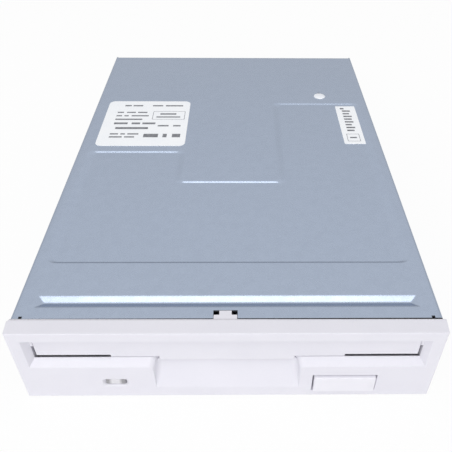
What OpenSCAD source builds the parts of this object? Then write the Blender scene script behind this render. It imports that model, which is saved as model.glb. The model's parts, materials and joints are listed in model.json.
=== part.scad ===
// Internal floppy disk drive for 3.5 inch disks: a cast tray with a pressed steel cover and a
// moulded front panel, holding a disk lift, an eject slider, a spindle motor and a head carriage.
// X runs across the drive, Y from the front panel to the rear connectors, Z up from the underside.
// The solids show the drive empty: lift raised, slider held back, heads parked at the outer track.

/* [Front panel] */
// Width of the panel at its rear edge
panel_w = 101.6; // [101:0.1:104]
// Height of the panel and of the drive
drive_h = 25.4; // [25.2:0.1:26.4]
// Depth of the panel from its face to its rear
panel_t = 4.3; // [4:0.1:5]
// Narrowing of the panel towards its face, each side
panel_draft = 0.3; // [0.1:0.05:0.6]
// Wall left where the panel is hollow behind
panel_wall = 1.8; // [1.4:0.1:2.4]

/* [Disk slot] */
// Panel left at each end of the slot behind the door
slot_side = 4.6; // [4.3:0.05:4.8]
// Panel left at each end of the sunk band, at the face
band_side = 3.1; // [2.3:0.05:3.6]
// Height of the lower edge of the sunk band
band_z = 12.1; // [11.4:0.1:12.6]
// Height of the sunk band at the panel face
band_h = 10.2; // [9.9:0.1:10.6]
// Depth of the sunk band
band_d = 1.6; // [1.3:0.1:1.8]
// Width of the finger notch at the panel face
notch_w = 35.5; // [32:0.1:36]
// Narrowing of the finger notch towards its depth, each side
notch_taper = 1.25; // [0.5:0.05:1.5]
// Height at which the finger notch starts
notch_z = 3.8; // [3:0.1:6]

/* [Door] */
// Thickness of the door
door_t = 1.2; // [0.9:0.1:1.3]
// Gap at each end of the door
door_gap = 0.7; // [0.4:0.05:1]
// Radius of the door's hinge pins
door_pin_r = 0.8; // [0.6:0.05:0.9]
// Angle of the fully open door
door_open = 88; // [70:1:88]

/* [Eject button] */
// Distance of the button's middle from the side of the finger notch
button_off = 10.95; // [10:0.05:12]
// Width of the button
button_w = 15.2; // [12:0.1:16]
// Height of the button
button_h = 5.8; // [5:0.1:6.4]
// Height of the button's middle
button_z = 5.4; // [5.1:0.1:5.6]
// How far the button stands out of the panel
button_proud = 0.6; // [0.3:0.1:1.5]

/* [Indicator] */
// Distance of the indicator's middle from the panel's left edge
lens_side = 23; // [22:0.1:24]
// Height of the indicator's middle
lens_z = 6; // [5.8:0.1:6.8]
// Width of the indicator lens
lens_w = 5; // [4:0.1:6]
// Height of the indicator lens
lens_h = 2; // [1.6:0.1:2.6]

/* [Tray and cover] */
// How far the tray and the cover stand in from the panel's edge
body_inset = 0.35; // [0.1:0.05:0.5]
// Length from the outer track to the cover's rear edge
rear_l = 50.5; // [50:0.5:57]
// Thickness of the tray's side walls
tray_wall = 1.6; // [1.5:0.05:1.75]
// Underside of the tray floor
floor_z = 2.6; // [2.5:0.05:2.8]
// Thickness of the tray floor
floor_t = 1.4; // [1.2:0.05:1.5]
// Thickness of the steel cover
cover_t = 0.6; // [0.5:0.05:0.7]
// Depth of the cover's broad recess
recess_d = 0.45; // [0.2:0.05:0.5]
// Depth of the groove along the cover's front
groove_d = 0.8; // [0.5:0.05:1]
// Side of the square rating label
label_w = 30; // [24:0.5:30]
// Width of the narrow label
strip_w = 7.7; // [5:0.1:7.8]
// Length of the narrow label
strip_l = 25.3; // [18:0.1:26]

/* [Mounting holes] */
// Radius of the M3 threaded holes
mount_r = 1.25; // [1.2:0.05:1.3]
// Distance of the underside holes from the tray's sides
base_side = 3.95; // [3.8:0.05:4.1]
// Distance along the drive between the underside holes
base_pitch_y = 70; // [69:0.5:70]
// First pair of underside holes behind the panel
base_from_panel = 31; // [30.5:0.5:32]
// Distance between the side holes
side_pitch_y = 90; // [88:0.5:90]
// First side hole behind the panel
side_from_panel = 21; // [20.5:0.5:22]
// Height of the side holes
side_hole_z = 5; // [4.8:0.1:5.4]

/* [Disk lift] */
// Room in the slot at each side of the disk
disk_room = 1.2; // [1.2:0.05:1.4]
// Free room beside the disk, each side
disk_side = 0.7; // [0.4:0.05:0.75]
// Height of the disk's underside before it drops
disk_z = 14.5; // [14.4:0.05:14.6]
// Free height inside the lift
lift_room = 4.4; // [4.2:0.05:4.5]
// Thickness of the lift's sheet
lift_t = 0.8; // [0.6:0.05:0.85]
// Drop of the lift when a disk is loaded
lift_drop = 2.4; // [2.2:0.05:2.5]
// Radius of the lift's guide pins
lift_pin_r = 1.2; // [1:0.05:1.3]

/* [Eject slider] */
// Travel of the slider from held back to fully forward
slide_out = 6.5; // [6:0.1:6.6]
// Extra travel when the button is pressed
slide_press = 1; // [0.6:0.1:1.1]
// Thickness of the slider's sheet
slider_t = 0.8; // [0.6:0.05:0.85]
// Radius of the studs that guide the slider
stud_r = 1.5; // [1.3:0.05:1.6]
// Radius of the return springs' coils
coil_r = 1.4; // [1.2:0.05:1.5]
// Radius of the return springs' wire
wire_r = 0.22; // [0.16:0.02:0.26]

/* [Shutter lever] */
// Length of the lever from its pivot to its tip
lever_l = 20; // [19:0.2:20]
// Swing of the lever as a disk goes in
lever_turn = 58; // [57:0.5:60]
// Thickness of the lever
lever_t = 1.4; // [1:0.05:1.5]

/* [Spindle motor] */
// Distance of the spindle behind the panel face
spindle_y = 55; // [54.8:0.1:55.4]
// Outer radius of the rotor
rotor_r = 25.6; // [24:0.1:26]
// Radius of the disk hub seat
hub_r = 12.5; // [12.2:0.1:13]
// Height of the disk hub seat above the rotor
hub_h = 3.5; // [3.3:0.05:3.6]
// Radius of the spindle shaft
shaft_r = 1.5; // [1.3:0.05:1.6]
// Number of stator poles
poles = 12; // [9:3:12]

/* [Head carriage] */
// Radius of the outer track
track_r = 39.5; // [39.3:0.1:39.8]
// Travel of the heads from the outer to the inner track
stroke = 14.8; // [14.4:0.1:15]
// Radius of the guide rod
rod_r = 1.5; // [1.3:0.05:1.6]
// Angle of the raised upper arm
arm_lift = 11.3; // [11:0.1:11.6]

/* [Stepper] */
// Travel of the heads in one turn of the lead screw
lead = 3.75; // [3.5:0.05:4]
// Radius of the lead screw
screw_r = 1.5; // [1.4:0.05:1.6]
// Depth of the lead screw's groove
thread_d = 0.6; // [0.5:0.05:0.65]
// Radius of the stepper case
case_r = 7.5; // [7:0.1:7.6]
// Length of the stepper case
case_l = 15; // [13:0.2:15]

/* [Circuit boards] */
// Thickness of the motor board
motor_pcb_t = 1; // [0.8:0.05:1.1]
// Thickness of the main board
main_pcb_t = 1.5; // [1.2:0.05:1.6]
// Distance between connector pins
pin_pitch = 2.54; // [2.5:0.01:2.56]
// Side of the square connector pins
pin_s = 0.64; // [0.5:0.02:0.7]

/* [Hidden] */
$fn = 48;
// seat clearance, running clearance and the small overlap used when cutting
fit = 0.05;
run = 0.2;
cut = 0.5;

// overall widths and lengths
body_w = panel_w - 2 * body_inset;
slot_w = panel_w - 2 * slot_side;
band_w = panel_w - 2 * band_side;
disk_w = slot_w - 2 * disk_room;
base_pitch_x = body_w - 2 * base_side;
head_y = spindle_y + track_r;
drive_l = head_y + rear_l;
mid_y = (drive_l - button_proud) / 2;

// heights
floor_top = floor_z + floor_t;
slider_z = floor_top + fit;
slider_top = slider_z + slider_t;
lip_z = disk_z - lift_t;
roof_z = disk_z + lift_room;
roof_top = roof_z + lift_t;
seat_z = disk_z - lift_drop;
rise = lift_drop * slide_press / slide_out;
pin_z = (lip_z + roof_top) / 2;
ledge_z = pin_z - lift_drop - lift_pin_r - 0.6;
cover_top = drive_h - 0.4;
wall_top = cover_top - cover_t - fit;
hub_top = seat_z - 0.2;
rotor_top = hub_top - hub_h;
axis_z = 8.2;

// half widths
out_x = body_w / 2;
in_x = out_x - tray_wall;
up_x = out_x - cover_t - fit;
lift_in = disk_w / 2 + disk_side;
lift_out = lift_in + lift_t;
lip_x = lift_out - 5.5;
ear_x = lift_out + run;
ear_out = ear_x + slider_t;
base_x = base_pitch_x / 2;

// lengths
tray_y = panel_t + 0.2;
tray_end = drive_l - 2;
cover_y = panel_t + 0.3;
disk_end = spindle_y + 44;
lever_y = disk_end + 2;
lever_x = lift_in - 7.7;
lift_y = 11;
lift_end = lever_y - 3.5;

// front panel
face_w = panel_w / 2 - panel_draft;
slot_x = slot_w / 2;
slot_z = 14.3;
door_x = slot_x - door_gap;
hinge_y = 2.9;
hinge_z = 20.6;
knuckle_r = 1;
slot_top = hinge_z + knuckle_r + 0.3;
notch_x = notch_w / 2;
notch_in = notch_x - notch_taper;
notch_at = -0.25;
ledge_x = slot_x - 18.2;
button_x = notch_x + button_off;
lens_x = lens_side - panel_w / 2;
notch_d = 3.1;
notch_top = 12.9;
tongue_x = notch_in - 0.3;
tongue_z = notch_top + 0.4;
button_gap = 0.3;
button_end = 8.8;
prong_x = in_x - 0.15;
hook_x = -0.55;
hook_w = 5.5;
hook_end = 6.85;

// slider
bar_y = spindle_y - 33;
bar_w = 5.5;
stud_x = ear_x - 4.2;
leg_x = stud_x - 5.5;
leg_end = spindle_y + 40;
pin_y = [bar_y + 4, spindle_y + 25];
ear_ends = [[bar_y - 1.5, bar_y + 15], [spindle_y + 21, spindle_y + 35]];
stud_y = [spindle_y - 9, spindle_y + 29];
stud_head_r = 2.6;
hook_y = spindle_y + 17;
screw_room = 1.8;
spring_z = slider_top + 2.75;
tongue_y = 3;
grip_x = [button_x - 2.7, button_x + 2.7];
latch_gap = 0.4;
tail_l = 7;
tail_w = 2.4;
latch_x = lever_x + tail_l - 1;
latch_y = lever_y + tail_w / 2 + latch_gap;
slope = lift_drop / slide_out;

// lever
lever_z = roof_top + rise + 0.18;
tip_r = 1.4;
pivot_r = 1.5;
post_r = 2.6;

// motor
board_x = leg_x - 1;
wing_x = in_x - 5.35;
board_end = spindle_y + 33;
hole_r = rotor_r + 2.4;
board_z = floor_z - motor_pcb_t;
bush_top = 6;
core_z = 3.4;
core_t = 2;
core_r = 20.6;
air_gap = 0.6;
rotor_t = 1;
skirt_t = 1.2;
skirt_z = floor_z + 0.6;
drive_r = 10;
drive_pin_r = 1.2;

// carriage
rod_x = 14;
sleeve_y = head_y + 4.5;
sleeve_l = 16;
sleeve_r = 3.3;
post_l = 3;
rod_front = sleeve_y - stroke - 0.7 - post_l;
rod_rear = sleeve_y + sleeve_l + 0.5;
rod_end = rod_rear + post_l;
body_x = 9;
body_z = 5.4;
body_top = seat_z - 0.6;
body_y = head_y + 4.5;
nose_z = rotor_top + 0.6;
nose_x = 6;
nose_top = seat_z - 0.5;
tower_y = head_y + 20;
tower_l = 6;
body_end = tower_y + tower_l;
arm_y = head_y + 23;
arm_z = roof_top - lift_drop - 0.3;
head_z = seat_z + 1.65;
barrel_r = 1.5;
barrel_x = 4.7;
arm_pin_r = 0.8;
arm_t = 0.9;
arm_under = 0.35;
arm_l = 25.8;
tower_drop = 2.2;

// stepper
screw_x = -18;
needle_y = head_y + 8;
needle_r = 0.3;
thread_y = needle_y - stroke - 3.7;
thread_l = stroke + 7.2;
journal_r = screw_r - thread_d - 0.06;
ear_y = thread_y - 5;
flange_y = thread_y + thread_l + 6;
plate_t = 1;
case_y = flange_y + plate_t;
case_end = case_y + case_l;
bracket_t = 0.8;

// main board and connectors
main_y = spindle_y + 43;
main_end = drive_l - 1.5;
main_z = floor_z - main_pcb_t;
main_x = in_x - 0.85;
main_wide_y = panel_t + base_from_panel + base_pitch_y + 5.2;
rail_x = in_x - 3.85;
data_n = 17;
data_w = data_n * pin_pitch + 1.2;
data_x = rail_x - 0.42 - data_w / 2;
data_left = data_x - data_w / 2;
base_end = drive_l - 9;
base_y = base_end - 8;
floor_end = min(rod_end + 3.5, base_y - 4);
row_z = floor_z + 2.9;
power_w = 13;
power_x = 1 + power_w / 2 - rail_x;
power_right = power_x + power_w / 2;
power_s = 1;
power_z = floor_z + 3.8;
cheek_t = 1.2;

// sensors
plunger_r = 1.1;
plunger_x = lip_x - 0.7 - plunger_r;
plunger_y = 12;
plunger_top = seat_z + 1.8;
switch_top = 10.4;
switch_x = plunger_x - 1.7;
third_x = 5.1 - plunger_x;
led_y = panel_t + 0.3;

// Shared shapes

// range of width w about its middle m
function around(m, w) = [m - w / 2, m + w / 2];

module place() translate([0, -mid_y, 0]) children();

module block(x, y, z)
    translate([x[0], y[0], z[0]]) cube([x[1] - x[0], y[1] - y[0], z[1] - z[0]]);

module both() {
    children();
    mirror([1, 0, 0]) children();
}

module bar_x(r, x, y, z) translate([x[0], y, z]) rotate([0, 90, 0]) cylinder(r = r, h = x[1] - x[0]);

module bar_y(r, x, y, z) translate([x, y[0], z]) rotate([-90, 0, 0]) cylinder(r = r, h = y[1] - y[0]);

module bar_z(r, x, y, z) translate([x, y, z[0]]) cylinder(r = r, h = z[1] - z[0]);

// profile drawn in Y and Z, run along X
module along_x(x) translate([x[0], 0, 0]) rotate([90, 0, 90]) linear_extrude(x[1] - x[0]) children();

// profile drawn in X and Z, run along Y
module along_y(y) translate([0, y[1], 0]) rotate([90, 0, 0]) linear_extrude(y[1] - y[0]) children();

module ring_z(r, x, y, z) difference() {
    bar_z(r[1], x, y, z);
    bar_z(r[0], x, y, [z[0] - cut, z[1] + cut]);
}

// screw that enters from below: head under a board, shank up into the floor
module low_screw(x, y, head_top, tip) {
    bar_z(1.9, x, y, [head_top - 0.8, head_top]);
    bar_z(0.95, x, y, [head_top - fit, tip]);
}

// Wire forms: a tube with six sides along a list of points

function unit(v) = v / norm(v);

function tangents(p) =
    [for (i = [0 : len(p) - 1]) unit(p[min(i + 1, len(p) - 1)] - p[max(i - 1, 0)])];

function square_to(v, t) = unit(v - (v * t) * t);

function carried(t, v) =
    [for (i = 0, m = square_to(v, t[0]); i < len(t); i = i + 1,
        m = i < len(t) ? square_to(m, t[i]) : m) m];

function least_gap(p, skip, r) =
    min([for (i = [0 : len(p) - 1 - skip]) for (j = [i + skip : len(p) - 1]) norm(p[i] - p[j])]) - 2 * r;

module wire(p, r, side) {
    t = tangents(p);
    n = carried(t, side);
    s = 6;
    last = len(p) - 1;
    points = [for (i = [0 : last]) for (k = [0 : s - 1])
        p[i] + r * (cos(360 * k / s) * n[i] + sin(360 * k / s) * cross(t[i], n[i]))];
    sides = [for (i = [0 : last - 1]) for (k = [0 : s - 1])
        [i * s + k, (i + 1) * s + k, (i + 1) * s + (k + 1) % s, i * s + (k + 1) % s]];
    ends = [[for (k = [0 : s - 1]) k], [for (k = [0 : s - 1]) last * s + s - 1 - k]];
    polyhedron(points = points, faces = concat(sides, ends));
}

// Tray, cover and front panel

module mount_points() {
    for (y = [0, base_pitch_y])
        translate([base_pitch_x / 2, panel_t + base_from_panel + y, 0]) children();
}

module side_points() {
    for (y = [0, side_pitch_y])
        translate([0, panel_t + side_from_panel + y, side_hole_z]) children();
}

module snap_points() {
    for (y = [60, tray_end - 17]) translate([0, y, ledge_z + 5.5]) children();
}

module chassis() color("#a9acb0") place() difference() {
    union() {
        block([-in_x - fit, in_x + fit], [tray_y, floor_end], [floor_z, floor_top]);
        both() {
            block([in_x, out_x], [tray_y, tray_end], [0, ledge_z]);
            block([in_x, up_x], [tray_y, tray_end], [ledge_z - fit, wall_top]);
            block([rail_x, in_x + fit], [floor_end - fit, tray_end], [floor_z, floor_top]);
            mount_points() cylinder(r = 3.2, h = floor_z + fit);
            side_points() bar_x(side_hole_z - floor_z, [ear_out + 0.4, in_x + fit], 0, 0);
            snap_points() block([up_x - fit, out_x - 0.1], [-2.5, 2.5], [-1, 1]);
            bar_z(1.8, 20, 13, [floor_top - fit, seat_z - fit]);
            bar_z(1.8, lip_x - 8, disk_end - 7, [floor_top - fit, seat_z - fit]);
        }
        for (y = [rod_front, rod_rear])
            block([rod_x - 3, rod_x + 3], [y, y + post_l], [floor_top - fit, axis_z + 2.6]);
        bar_z(post_r, lever_x, lever_y, [floor_top - fit, lever_z - run]);
    }
    bar_z(hole_r, 0, spindle_y, [floor_z - cut, floor_top + cut]);
    block([screw_x - 8.5, screw_x + 8.5], [case_y - 0.3, floor_end + cut], [0, floor_top + cut]);
    block([button_x - button_w / 2 - 1, button_x + button_w / 2 + 1],
        [tray_y - cut, button_end + slide_press + 0.5], [0, floor_top + cut]);
    block([lens_x - 3.7, lens_x + 3.7], [tray_y - cut, led_y + 6], [0, floor_top + cut]);
    block([third_x - 3.2, third_x + 3.3], [plunger_y - 3.3, plunger_y + 3.3], [0, floor_top + cut]);
    both() {
        block([switch_x - 0.3, switch_x + 6.3], [plunger_y - 3.3, plunger_y + 3.3], [0, floor_top + cut]);
        mount_points() translate([0, 0, -cut]) cylinder(r = mount_r, h = floor_top + 2 * cut);
        side_points() bar_x(mount_r, [ear_out - cut, out_x + cut], 0, 0);
        block([in_x - cut, out_x + cut], [9.4, 12.1], [6.9, 10.1]);
        for (y = pin_y)
            block([in_x - cut, up_x + cut], [y - lift_pin_r - run, y + lift_pin_r + run],
                [ledge_z + 0.3, pin_z + rise + lift_pin_r + 0.3]);
    }
    bar_y(rod_r + 0.02, rod_x, [rod_front - cut, rod_end + cut], axis_z);
    bar_z(pivot_r + 0.02, lever_x, lever_y, [14, lever_z]);
    for (x = [-1, 1]) for (y = stud_y) bar_z(1, x * stud_x, y, [floor_z - cut, floor_top + cut]);
    for (p = motor_screws) bar_z(0.97, p[0], p[1], [floor_z - cut, floor_top + cut]);
    for (p = main_screws) bar_z(0.97, p[0], p[1], [floor_z - cut, floor_top + cut]);
    for (p = bracket_screws) bar_z(0.97, p[0], p[1], [floor_z - cut, floor_top + cut]);
}

label_y = drive_l - 68.7;
recess_x = out_x - 4.4;
recess_end = drive_l - 40;
recess_wide = 56.9;
recess_left = label_y - 3.2;
recess = [[-recess_x, 22.8], [recess_x, 22.8], [recess_x, recess_end], [15.9, recess_end],
    [15.9, recess_wide], [-16.2, recess_wide], [-16.2, recess_left], [-recess_x, recess_left]];
groove_y = [8.4, 11.2];
groove_x = out_x - 4.55;
pip_at = [33.2, drive_l - 34.4];

// groove with mitred ends, let down from the cover's top by d
module groove(d, widen) intersection() {
    along_x([-groove_x - widen, groove_x + widen])
        polygon([[groove_y[0] - widen, cover_top + widen - d], [groove_y[1] + widen, cover_top + widen - d],
            [(groove_y[0] + groove_y[1]) / 2, cover_top - groove_d - d]]);
    along_y([groove_y[0] - 2, groove_y[1] + 2])
        polygon([[-groove_x - widen, cover_top + widen - d], [groove_x + widen, cover_top + widen - d],
            [groove_x - 1.5, cover_top - groove_d - d], [-groove_x + 1.5, cover_top - groove_d - d]]);
}

module top_cover() color("#9aa6b8") place() difference() {
    union() {
        difference() {
            block([-out_x, out_x], [cover_y, drive_l], [cover_top - cover_t, cover_top]);
            translate([0, 0, cover_top - recess_d]) linear_extrude(recess_d + cut) polygon(recess);
        }
        translate([0, 0, cover_top - recess_d - cover_t]) linear_extrude(cover_t) polygon(recess);
        groove(cover_t, cover_t);
        both() block([out_x - cover_t, out_x], [cover_y, drive_l], [ledge_z + 0.15, cover_top - fit]);
        block([-out_x, out_x], [drive_l - cover_t, drive_l], [cover_top - 2.5, cover_top - fit]);
        translate([pip_at[0], pip_at[1], cover_top - fit]) cylinder(r1 = 2, r2 = 1.1, h = 0.4);
    }
    groove(0, 0.001);
    block([hook_x - hook_w / 2 - 0.1, hook_x + hook_w / 2 + 0.1], [cover_y - cut, hook_end + 0.1],
        [cover_top - 2, cover_top + cut]);
    both() snap_points() block([up_x - cut, out_x + cut], [-2.7, 2.7], [-1.2, 1.2]);
}

module bezel() color("#e8e7ee") place() {
    difference() {
        union() {
            intersection() {
                block(around(0, panel_w), [0, panel_t], [0, drive_h]);
                translate([0, 0, -cut]) linear_extrude(drive_h + 2 * cut)
                    polygon([[-face_w, 0], [face_w, 0], [panel_w / 2, panel_t], [-panel_w / 2, panel_t]]);
                along_x([-panel_w, panel_w])
                    polygon([[0, panel_draft / 2], [panel_t, 0], [panel_t, drive_h],
                        [0, drive_h - panel_draft / 2]]);
            }
            block([hook_x - hook_w / 2, hook_x + hook_w / 2], [panel_t - fit, hook_end - 1.25],
                [cover_top - 1, cover_top + 0.05]);
            block([hook_x - 1.45, hook_x + 1.45], [panel_t - fit, hook_end], [cover_top - 1.5, cover_top]);
            block([hook_x - 1.45, hook_x + 1.45], [panel_t - fit, hook_end + 0.7],
                [cover_top - 1.5, cover_top - cover_t - 0.1]);
            both() block([prong_x - 1.8, prong_x], [panel_t - fit, 13], [6.4, 10.6]);
            both() block([prong_x - fit, out_x - 0.5], [9.6, 11.9], [7.1, 9.9]);
        }
        // sunk band and slot
        intersection() {
            along_x([-panel_w, panel_w])
                polygon([[-cut, band_z - cut], [band_d, slot_z], [band_d, slot_top],
                    [-cut, band_z + band_h]]);
            translate([0, 0, -cut]) linear_extrude(drive_h + 2 * cut)
                polygon([[-(band_w + cut) / 2, -cut], [(band_w + cut) / 2, -cut], [slot_x, band_d],
                    [-slot_x, band_d]]);
        }
        block([-slot_x, slot_x], [band_d - fit, panel_t + cut], [slot_z, slot_top]);
        both() block([ledge_x, slot_x], [band_d + 0.12, panel_t + cut], [slot_z - 3.1, slot_z + cut]);
        both() bar_x(door_pin_r + 0.1, [slot_x - cut, slot_x + 1.4], hinge_y, hinge_z);
        // finger notch
        intersection() {
            along_x([-panel_w, panel_w])
                polygon([[-cut, notch_z - cut * (notch_top - notch_z) / notch_d], [notch_d, notch_top],
                    [panel_t + cut, notch_top], [panel_t + cut, slot_z + cut], [-cut, slot_z + cut]]);
            translate([notch_at, 0, 0]) linear_extrude(drive_h)
                let (x = notch_x + cut * notch_taper / notch_d)
                    polygon([[-x, -cut], [x, -cut], [notch_in, notch_d], [notch_in, panel_t + 2 * cut],
                        [-notch_in, panel_t + 2 * cut], [-notch_in, notch_d]]);
        }
        // eject button and indicator
        block(around(button_x, button_w + 2 * button_gap), [-cut, panel_t + cut],
            around(button_z, button_h + 2 * button_gap));
        block(around(lens_x, lens_w + 2 * fit), [-cut, panel_t + cut], around(lens_z, lens_h + 2 * fit));
        // rounded well around the indicator
        hull() for (s = [[-cut, 2.25, 1.45, 1.4], [0.7, 2 * fit, 2 * fit, 0.5]])
            translate([lens_x, s[0], lens_z]) rotate([90, 0, 0]) linear_extrude(0.001)
                offset(r = s[3], $fn = 20)
                    square([lens_w + s[1] - 2 * s[3], lens_h + s[2] - 2 * s[3]], center = true);
        // hollows behind the lower corners
        for (x = [[-face_w + 1.5, notch_at - notch_x - 1.5], [button_x + button_w / 2 + 1.5, face_w - 1.5]])
            block(x, [panel_wall, panel_t + cut], [1.5, band_z - 2.5]);
    }
    // ears that close the gap at each end of the door, in front of its pins
    both() block([door_x + 0.12, slot_x + fit], [band_d, band_d + 0.35], [slot_z + 4.4, slot_top + fit]);
}

// the door is cut away for the coil of its spring
nest_x = door_x - 4.5;
door_skin = 0.4;

module slot_door() color("#edecf3") place() difference() {
    union() {
        for (x = [[-door_x, door_x, 15.25], [-ledge_x, ledge_x, 14.55],
            [notch_at - tongue_x, notch_at + tongue_x, tongue_z]])
            block([x[0], x[1]], [band_d, band_d + door_t], [x[2], hinge_z]);
        bar_x(knuckle_r, [-door_x, door_x], hinge_y, hinge_z);
        bar_x(door_pin_r, [-slot_x - 1.1, slot_x + 1.1], hinge_y, hinge_z);
    }
    difference() {
        block([-nest_x, 5 - nest_x], [band_d + door_skin, 2 * hinge_y], [19.1, slot_top]);
        bar_x(0.45, [-nest_x - 1, 6 - nest_x], hinge_y, hinge_z);
    }
}

door_coil = 0.69;
door_wire = 0.15;
door_turns = 5;
coil_x = 0.7 - nest_x;
tail_x = 4.65 - nest_x;
door_points = concat(
    [[coil_x, hinge_y - door_coil, slot_top - 0.25], [coil_x, hinge_y - door_coil, slot_top - 0.7]],
    [for (i = [0 : 8 * door_turns + 4]) [coil_x + 3.6 * i / (8 * door_turns),
        hinge_y - door_coil * cos(45 * i), hinge_z - door_coil * sin(45 * i)]],
    [[tail_x, hinge_y + door_coil - 0.25, 19.4], [tail_x, hinge_y + door_coil - 0.6, 18]]);
echo(door_spring_gap = least_gap([for (i = [2 : len(door_points) - 4]) door_points[i]], 6, door_wire));

module door_spring() color("#8d9096") place() wire(door_points, door_wire, [1, 0, 0]);

module eject_button() color("#e9e8ef") place() difference() {
    block(around(button_x, button_w), [-button_proud, button_end], around(button_z, button_h));
    block(around(button_x, button_w - 2.4), [1.2, button_end + cut],
        [slider_top + 1.2, button_z + button_h / 2 - 1]);
    block([grip_x[0] - fit, grip_x[1] + fit], [tongue_y - fit, button_end + cut],
        [slider_z - 0.02, slider_top + 0.02]);
}

module led_lens() color("#b9c4ae") place() {
    block(around(lens_x, lens_w), [0.15, panel_t], around(lens_z, lens_h));
    block(around(lens_x, lens_w + 1.6), [panel_wall, panel_wall + 0.8], around(lens_z, lens_h + 1));
}

module activity_led() color("#c7d3b4") place() {
    block(around(lens_x, 5), [led_y, led_y + 5], around(lens_z, 2.6));
    for (x = [-1.27, 1.27])
        block(around(lens_x + x, 0.5), [led_y + 3.6, led_y + 4.1], [floor_z, lens_z - 1.25]);
}

paper_t = 0.1;

module rating_label() color("#f1f5fb") place() {
    x = 0.35 - recess_x;
    block([x, x + label_w], [label_y, label_y + label_w], [cover_top, cover_top + paper_t]);
}

module code_label() color("#f1f5fb") place() {
    x = recess_x - 0.1;
    z = cover_top - recess_d;
    block([x - strip_w, x], around(drive_l - 54, strip_l), [z, z + paper_t]);
}

// Disk lift, eject slider and shutter lever

module disk_holder() color("#b7bac0") place() difference() {
    union() {
        block([-lift_out, lift_out], [lift_y, lift_end], [roof_z, roof_top]);
        both() {
            block([lift_in, lift_out], [lift_y, lift_end], [lip_z, roof_top]);
            block([lip_x, lift_out], [lift_y, lift_end], [lip_z, disk_z]);
            block([9.5, 14.5], [lift_end - cut, arm_y - 10], [roof_z, roof_top]);
        }
        block([3 - lip_x, -22], [lift_end - lift_t, lift_end], [disk_z + 0.6, roof_top]);
    }
    block([-20, 20], [lift_y - cut, lift_y + 4], [roof_z - cut, roof_top + cut]);
    block([-9.5, 9.5], [spindle_y + 19, lift_end + cut], [roof_z - cut, roof_top + cut]);
    intersection() {
        ring_z(around(lever_l, 2 * tip_r + 1), lever_x, lever_y, [roof_z - cut, roof_top + cut]);
        block([lever_x - lever_l - 3, lever_x - lever_l / 2 + 4], [lever_y - lever_l - 1, lift_end + 1],
            [roof_z - 1, roof_top + 1]);
    }
    both() for (y = pin_y) bar_x(0.82, [lift_in - cut, lift_out + cut], y, pin_z);
}

module holder_pins() color("#c9ccd2") place() both() for (y = pin_y) {
    bar_x(lift_pin_r, [lift_out, up_x - 0.15], y, pin_z);
    bar_x(0.8, [lift_in, lift_out + fit], y, pin_z);
}

// inclined slot that lifts and lowers a guide pin
module cam(y) {
    r = lift_pin_r + run;
    a = [y - slide_press, pin_z + rise];
    b = [y + slide_out, pin_z - lift_drop];
    tilt = atan(slope);
    x = [ear_x - cut, ear_out + cut];
    for (p = [a, b]) bar_x(r, x, p[0], p[1]);
    translate([0, a[0], a[1]]) rotate([-tilt, 0, 0]) block(x, [0, norm(b - a)], [-r, r]);
}

module stud_slot(x, y) {
    w = stud_r + run;
    z = [slider_z - cut, slider_top + cut];
    bar_z(w, x, y - slide_press, z);
    bar_z(w, x, y + slide_out, z);
    block([x - w, x + w], [y - slide_press, y + slide_out], z);
}

module eject_slider() color("#aeb3ba") place() difference() {
    union() {
        block([-ear_out, ear_out], [bar_y, bar_y + bar_w], [slider_z, slider_top]);
        block(grip_x, [tongue_y, bar_y + cut], [slider_z, slider_top]);
        both() {
            block([leg_x, ear_x - 0.7], [bar_y, leg_end], [slider_z, slider_top]);
            for (e = ear_ends) {
                block([leg_x + 2, ear_out], [max(e[0], bar_y), e[1]], [slider_z, slider_top]);
                block([ear_x - 2, ear_out], e, [slider_z, slider_top]);
                block([ear_x, ear_out], e, [slider_z, pin_z + rise + lift_pin_r + 1.4]);
            }
            block([stud_x - 1.3, stud_x + 1.3], [hook_y, hook_y + slider_t], [slider_z, spring_z + 1]);
        }
        block([ear_x, ear_out], [pin_y[1] + 2, latch_y + slider_t], [pin_z + 0.9, lever_z + lever_t + 0.3]);
        block([latch_x, ear_out], [latch_y, latch_y + slider_t], [lever_z - 0.3, lever_z + lever_t + 0.3]);
    }
    both() {
        for (y = pin_y) cam(y);
        for (y = stud_y) stud_slot(stud_x, y);
        bar_y(wire_r + 0.1, stud_x, [hook_y - cut, hook_y + slider_t + cut], spring_z);
        screw_window();
    }
}

// window that keeps the sliding ear clear of the tip of a side screw
module screw_window() {
    y = panel_t + side_from_panel;
    block([ear_x - 0.5, ear_out + cut], [y - slide_press - screw_room, y + slide_out + screw_room],
        [slider_z - cut, side_hole_z + screw_room]);
}

module slider_studs() color("#c9ccd2") place() both() for (y = stud_y) {
    bar_z(0.98, stud_x, y, [floor_z, floor_top + fit]);
    bar_z(stud_r, stud_x, y, [floor_top, slider_top + 0.1]);
    bar_z(stud_head_r, stud_x, y, [slider_top + 0.1, slider_top + 0.9]);
    if (y == stud_y[0]) bar_z(0.8, stud_x, y, [slider_top + 0.9, spring_z + 1.4]);
}

spring_y = [stud_y[0] + 1.4, hook_y - 0.3];
spring_turns = 13;
spring_pitch = (spring_y[1] - spring_y[0] - 2.4) / spring_turns;
spring_coil = [for (i = [0 : 8 * spring_turns]) [stud_x + coil_r * cos(45 * i),
    spring_y[0] + 1.2 + spring_pitch * i / 8, spring_z + coil_r * sin(45 * i)]];
spring_points = concat([[stud_x, spring_y[0] - 0.3, spring_z - coil_r * 0.1],
    [stud_x + 0.3 * coil_r, spring_y[0] + 0.3, spring_z - coil_r * 0.5]], spring_coil,
    [[stud_x + 0.3 * coil_r, spring_y[1] - 0.3, spring_z + coil_r * 0.5],
        [stud_x, spring_y[1] + 0.6, spring_z]]);
echo(return_spring_gap = least_gap(spring_coil, 6, wire_r));

module return_springs() color("#8d9096") place() both() wire(spring_points, wire_r, [0, 0, 1]);

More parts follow.
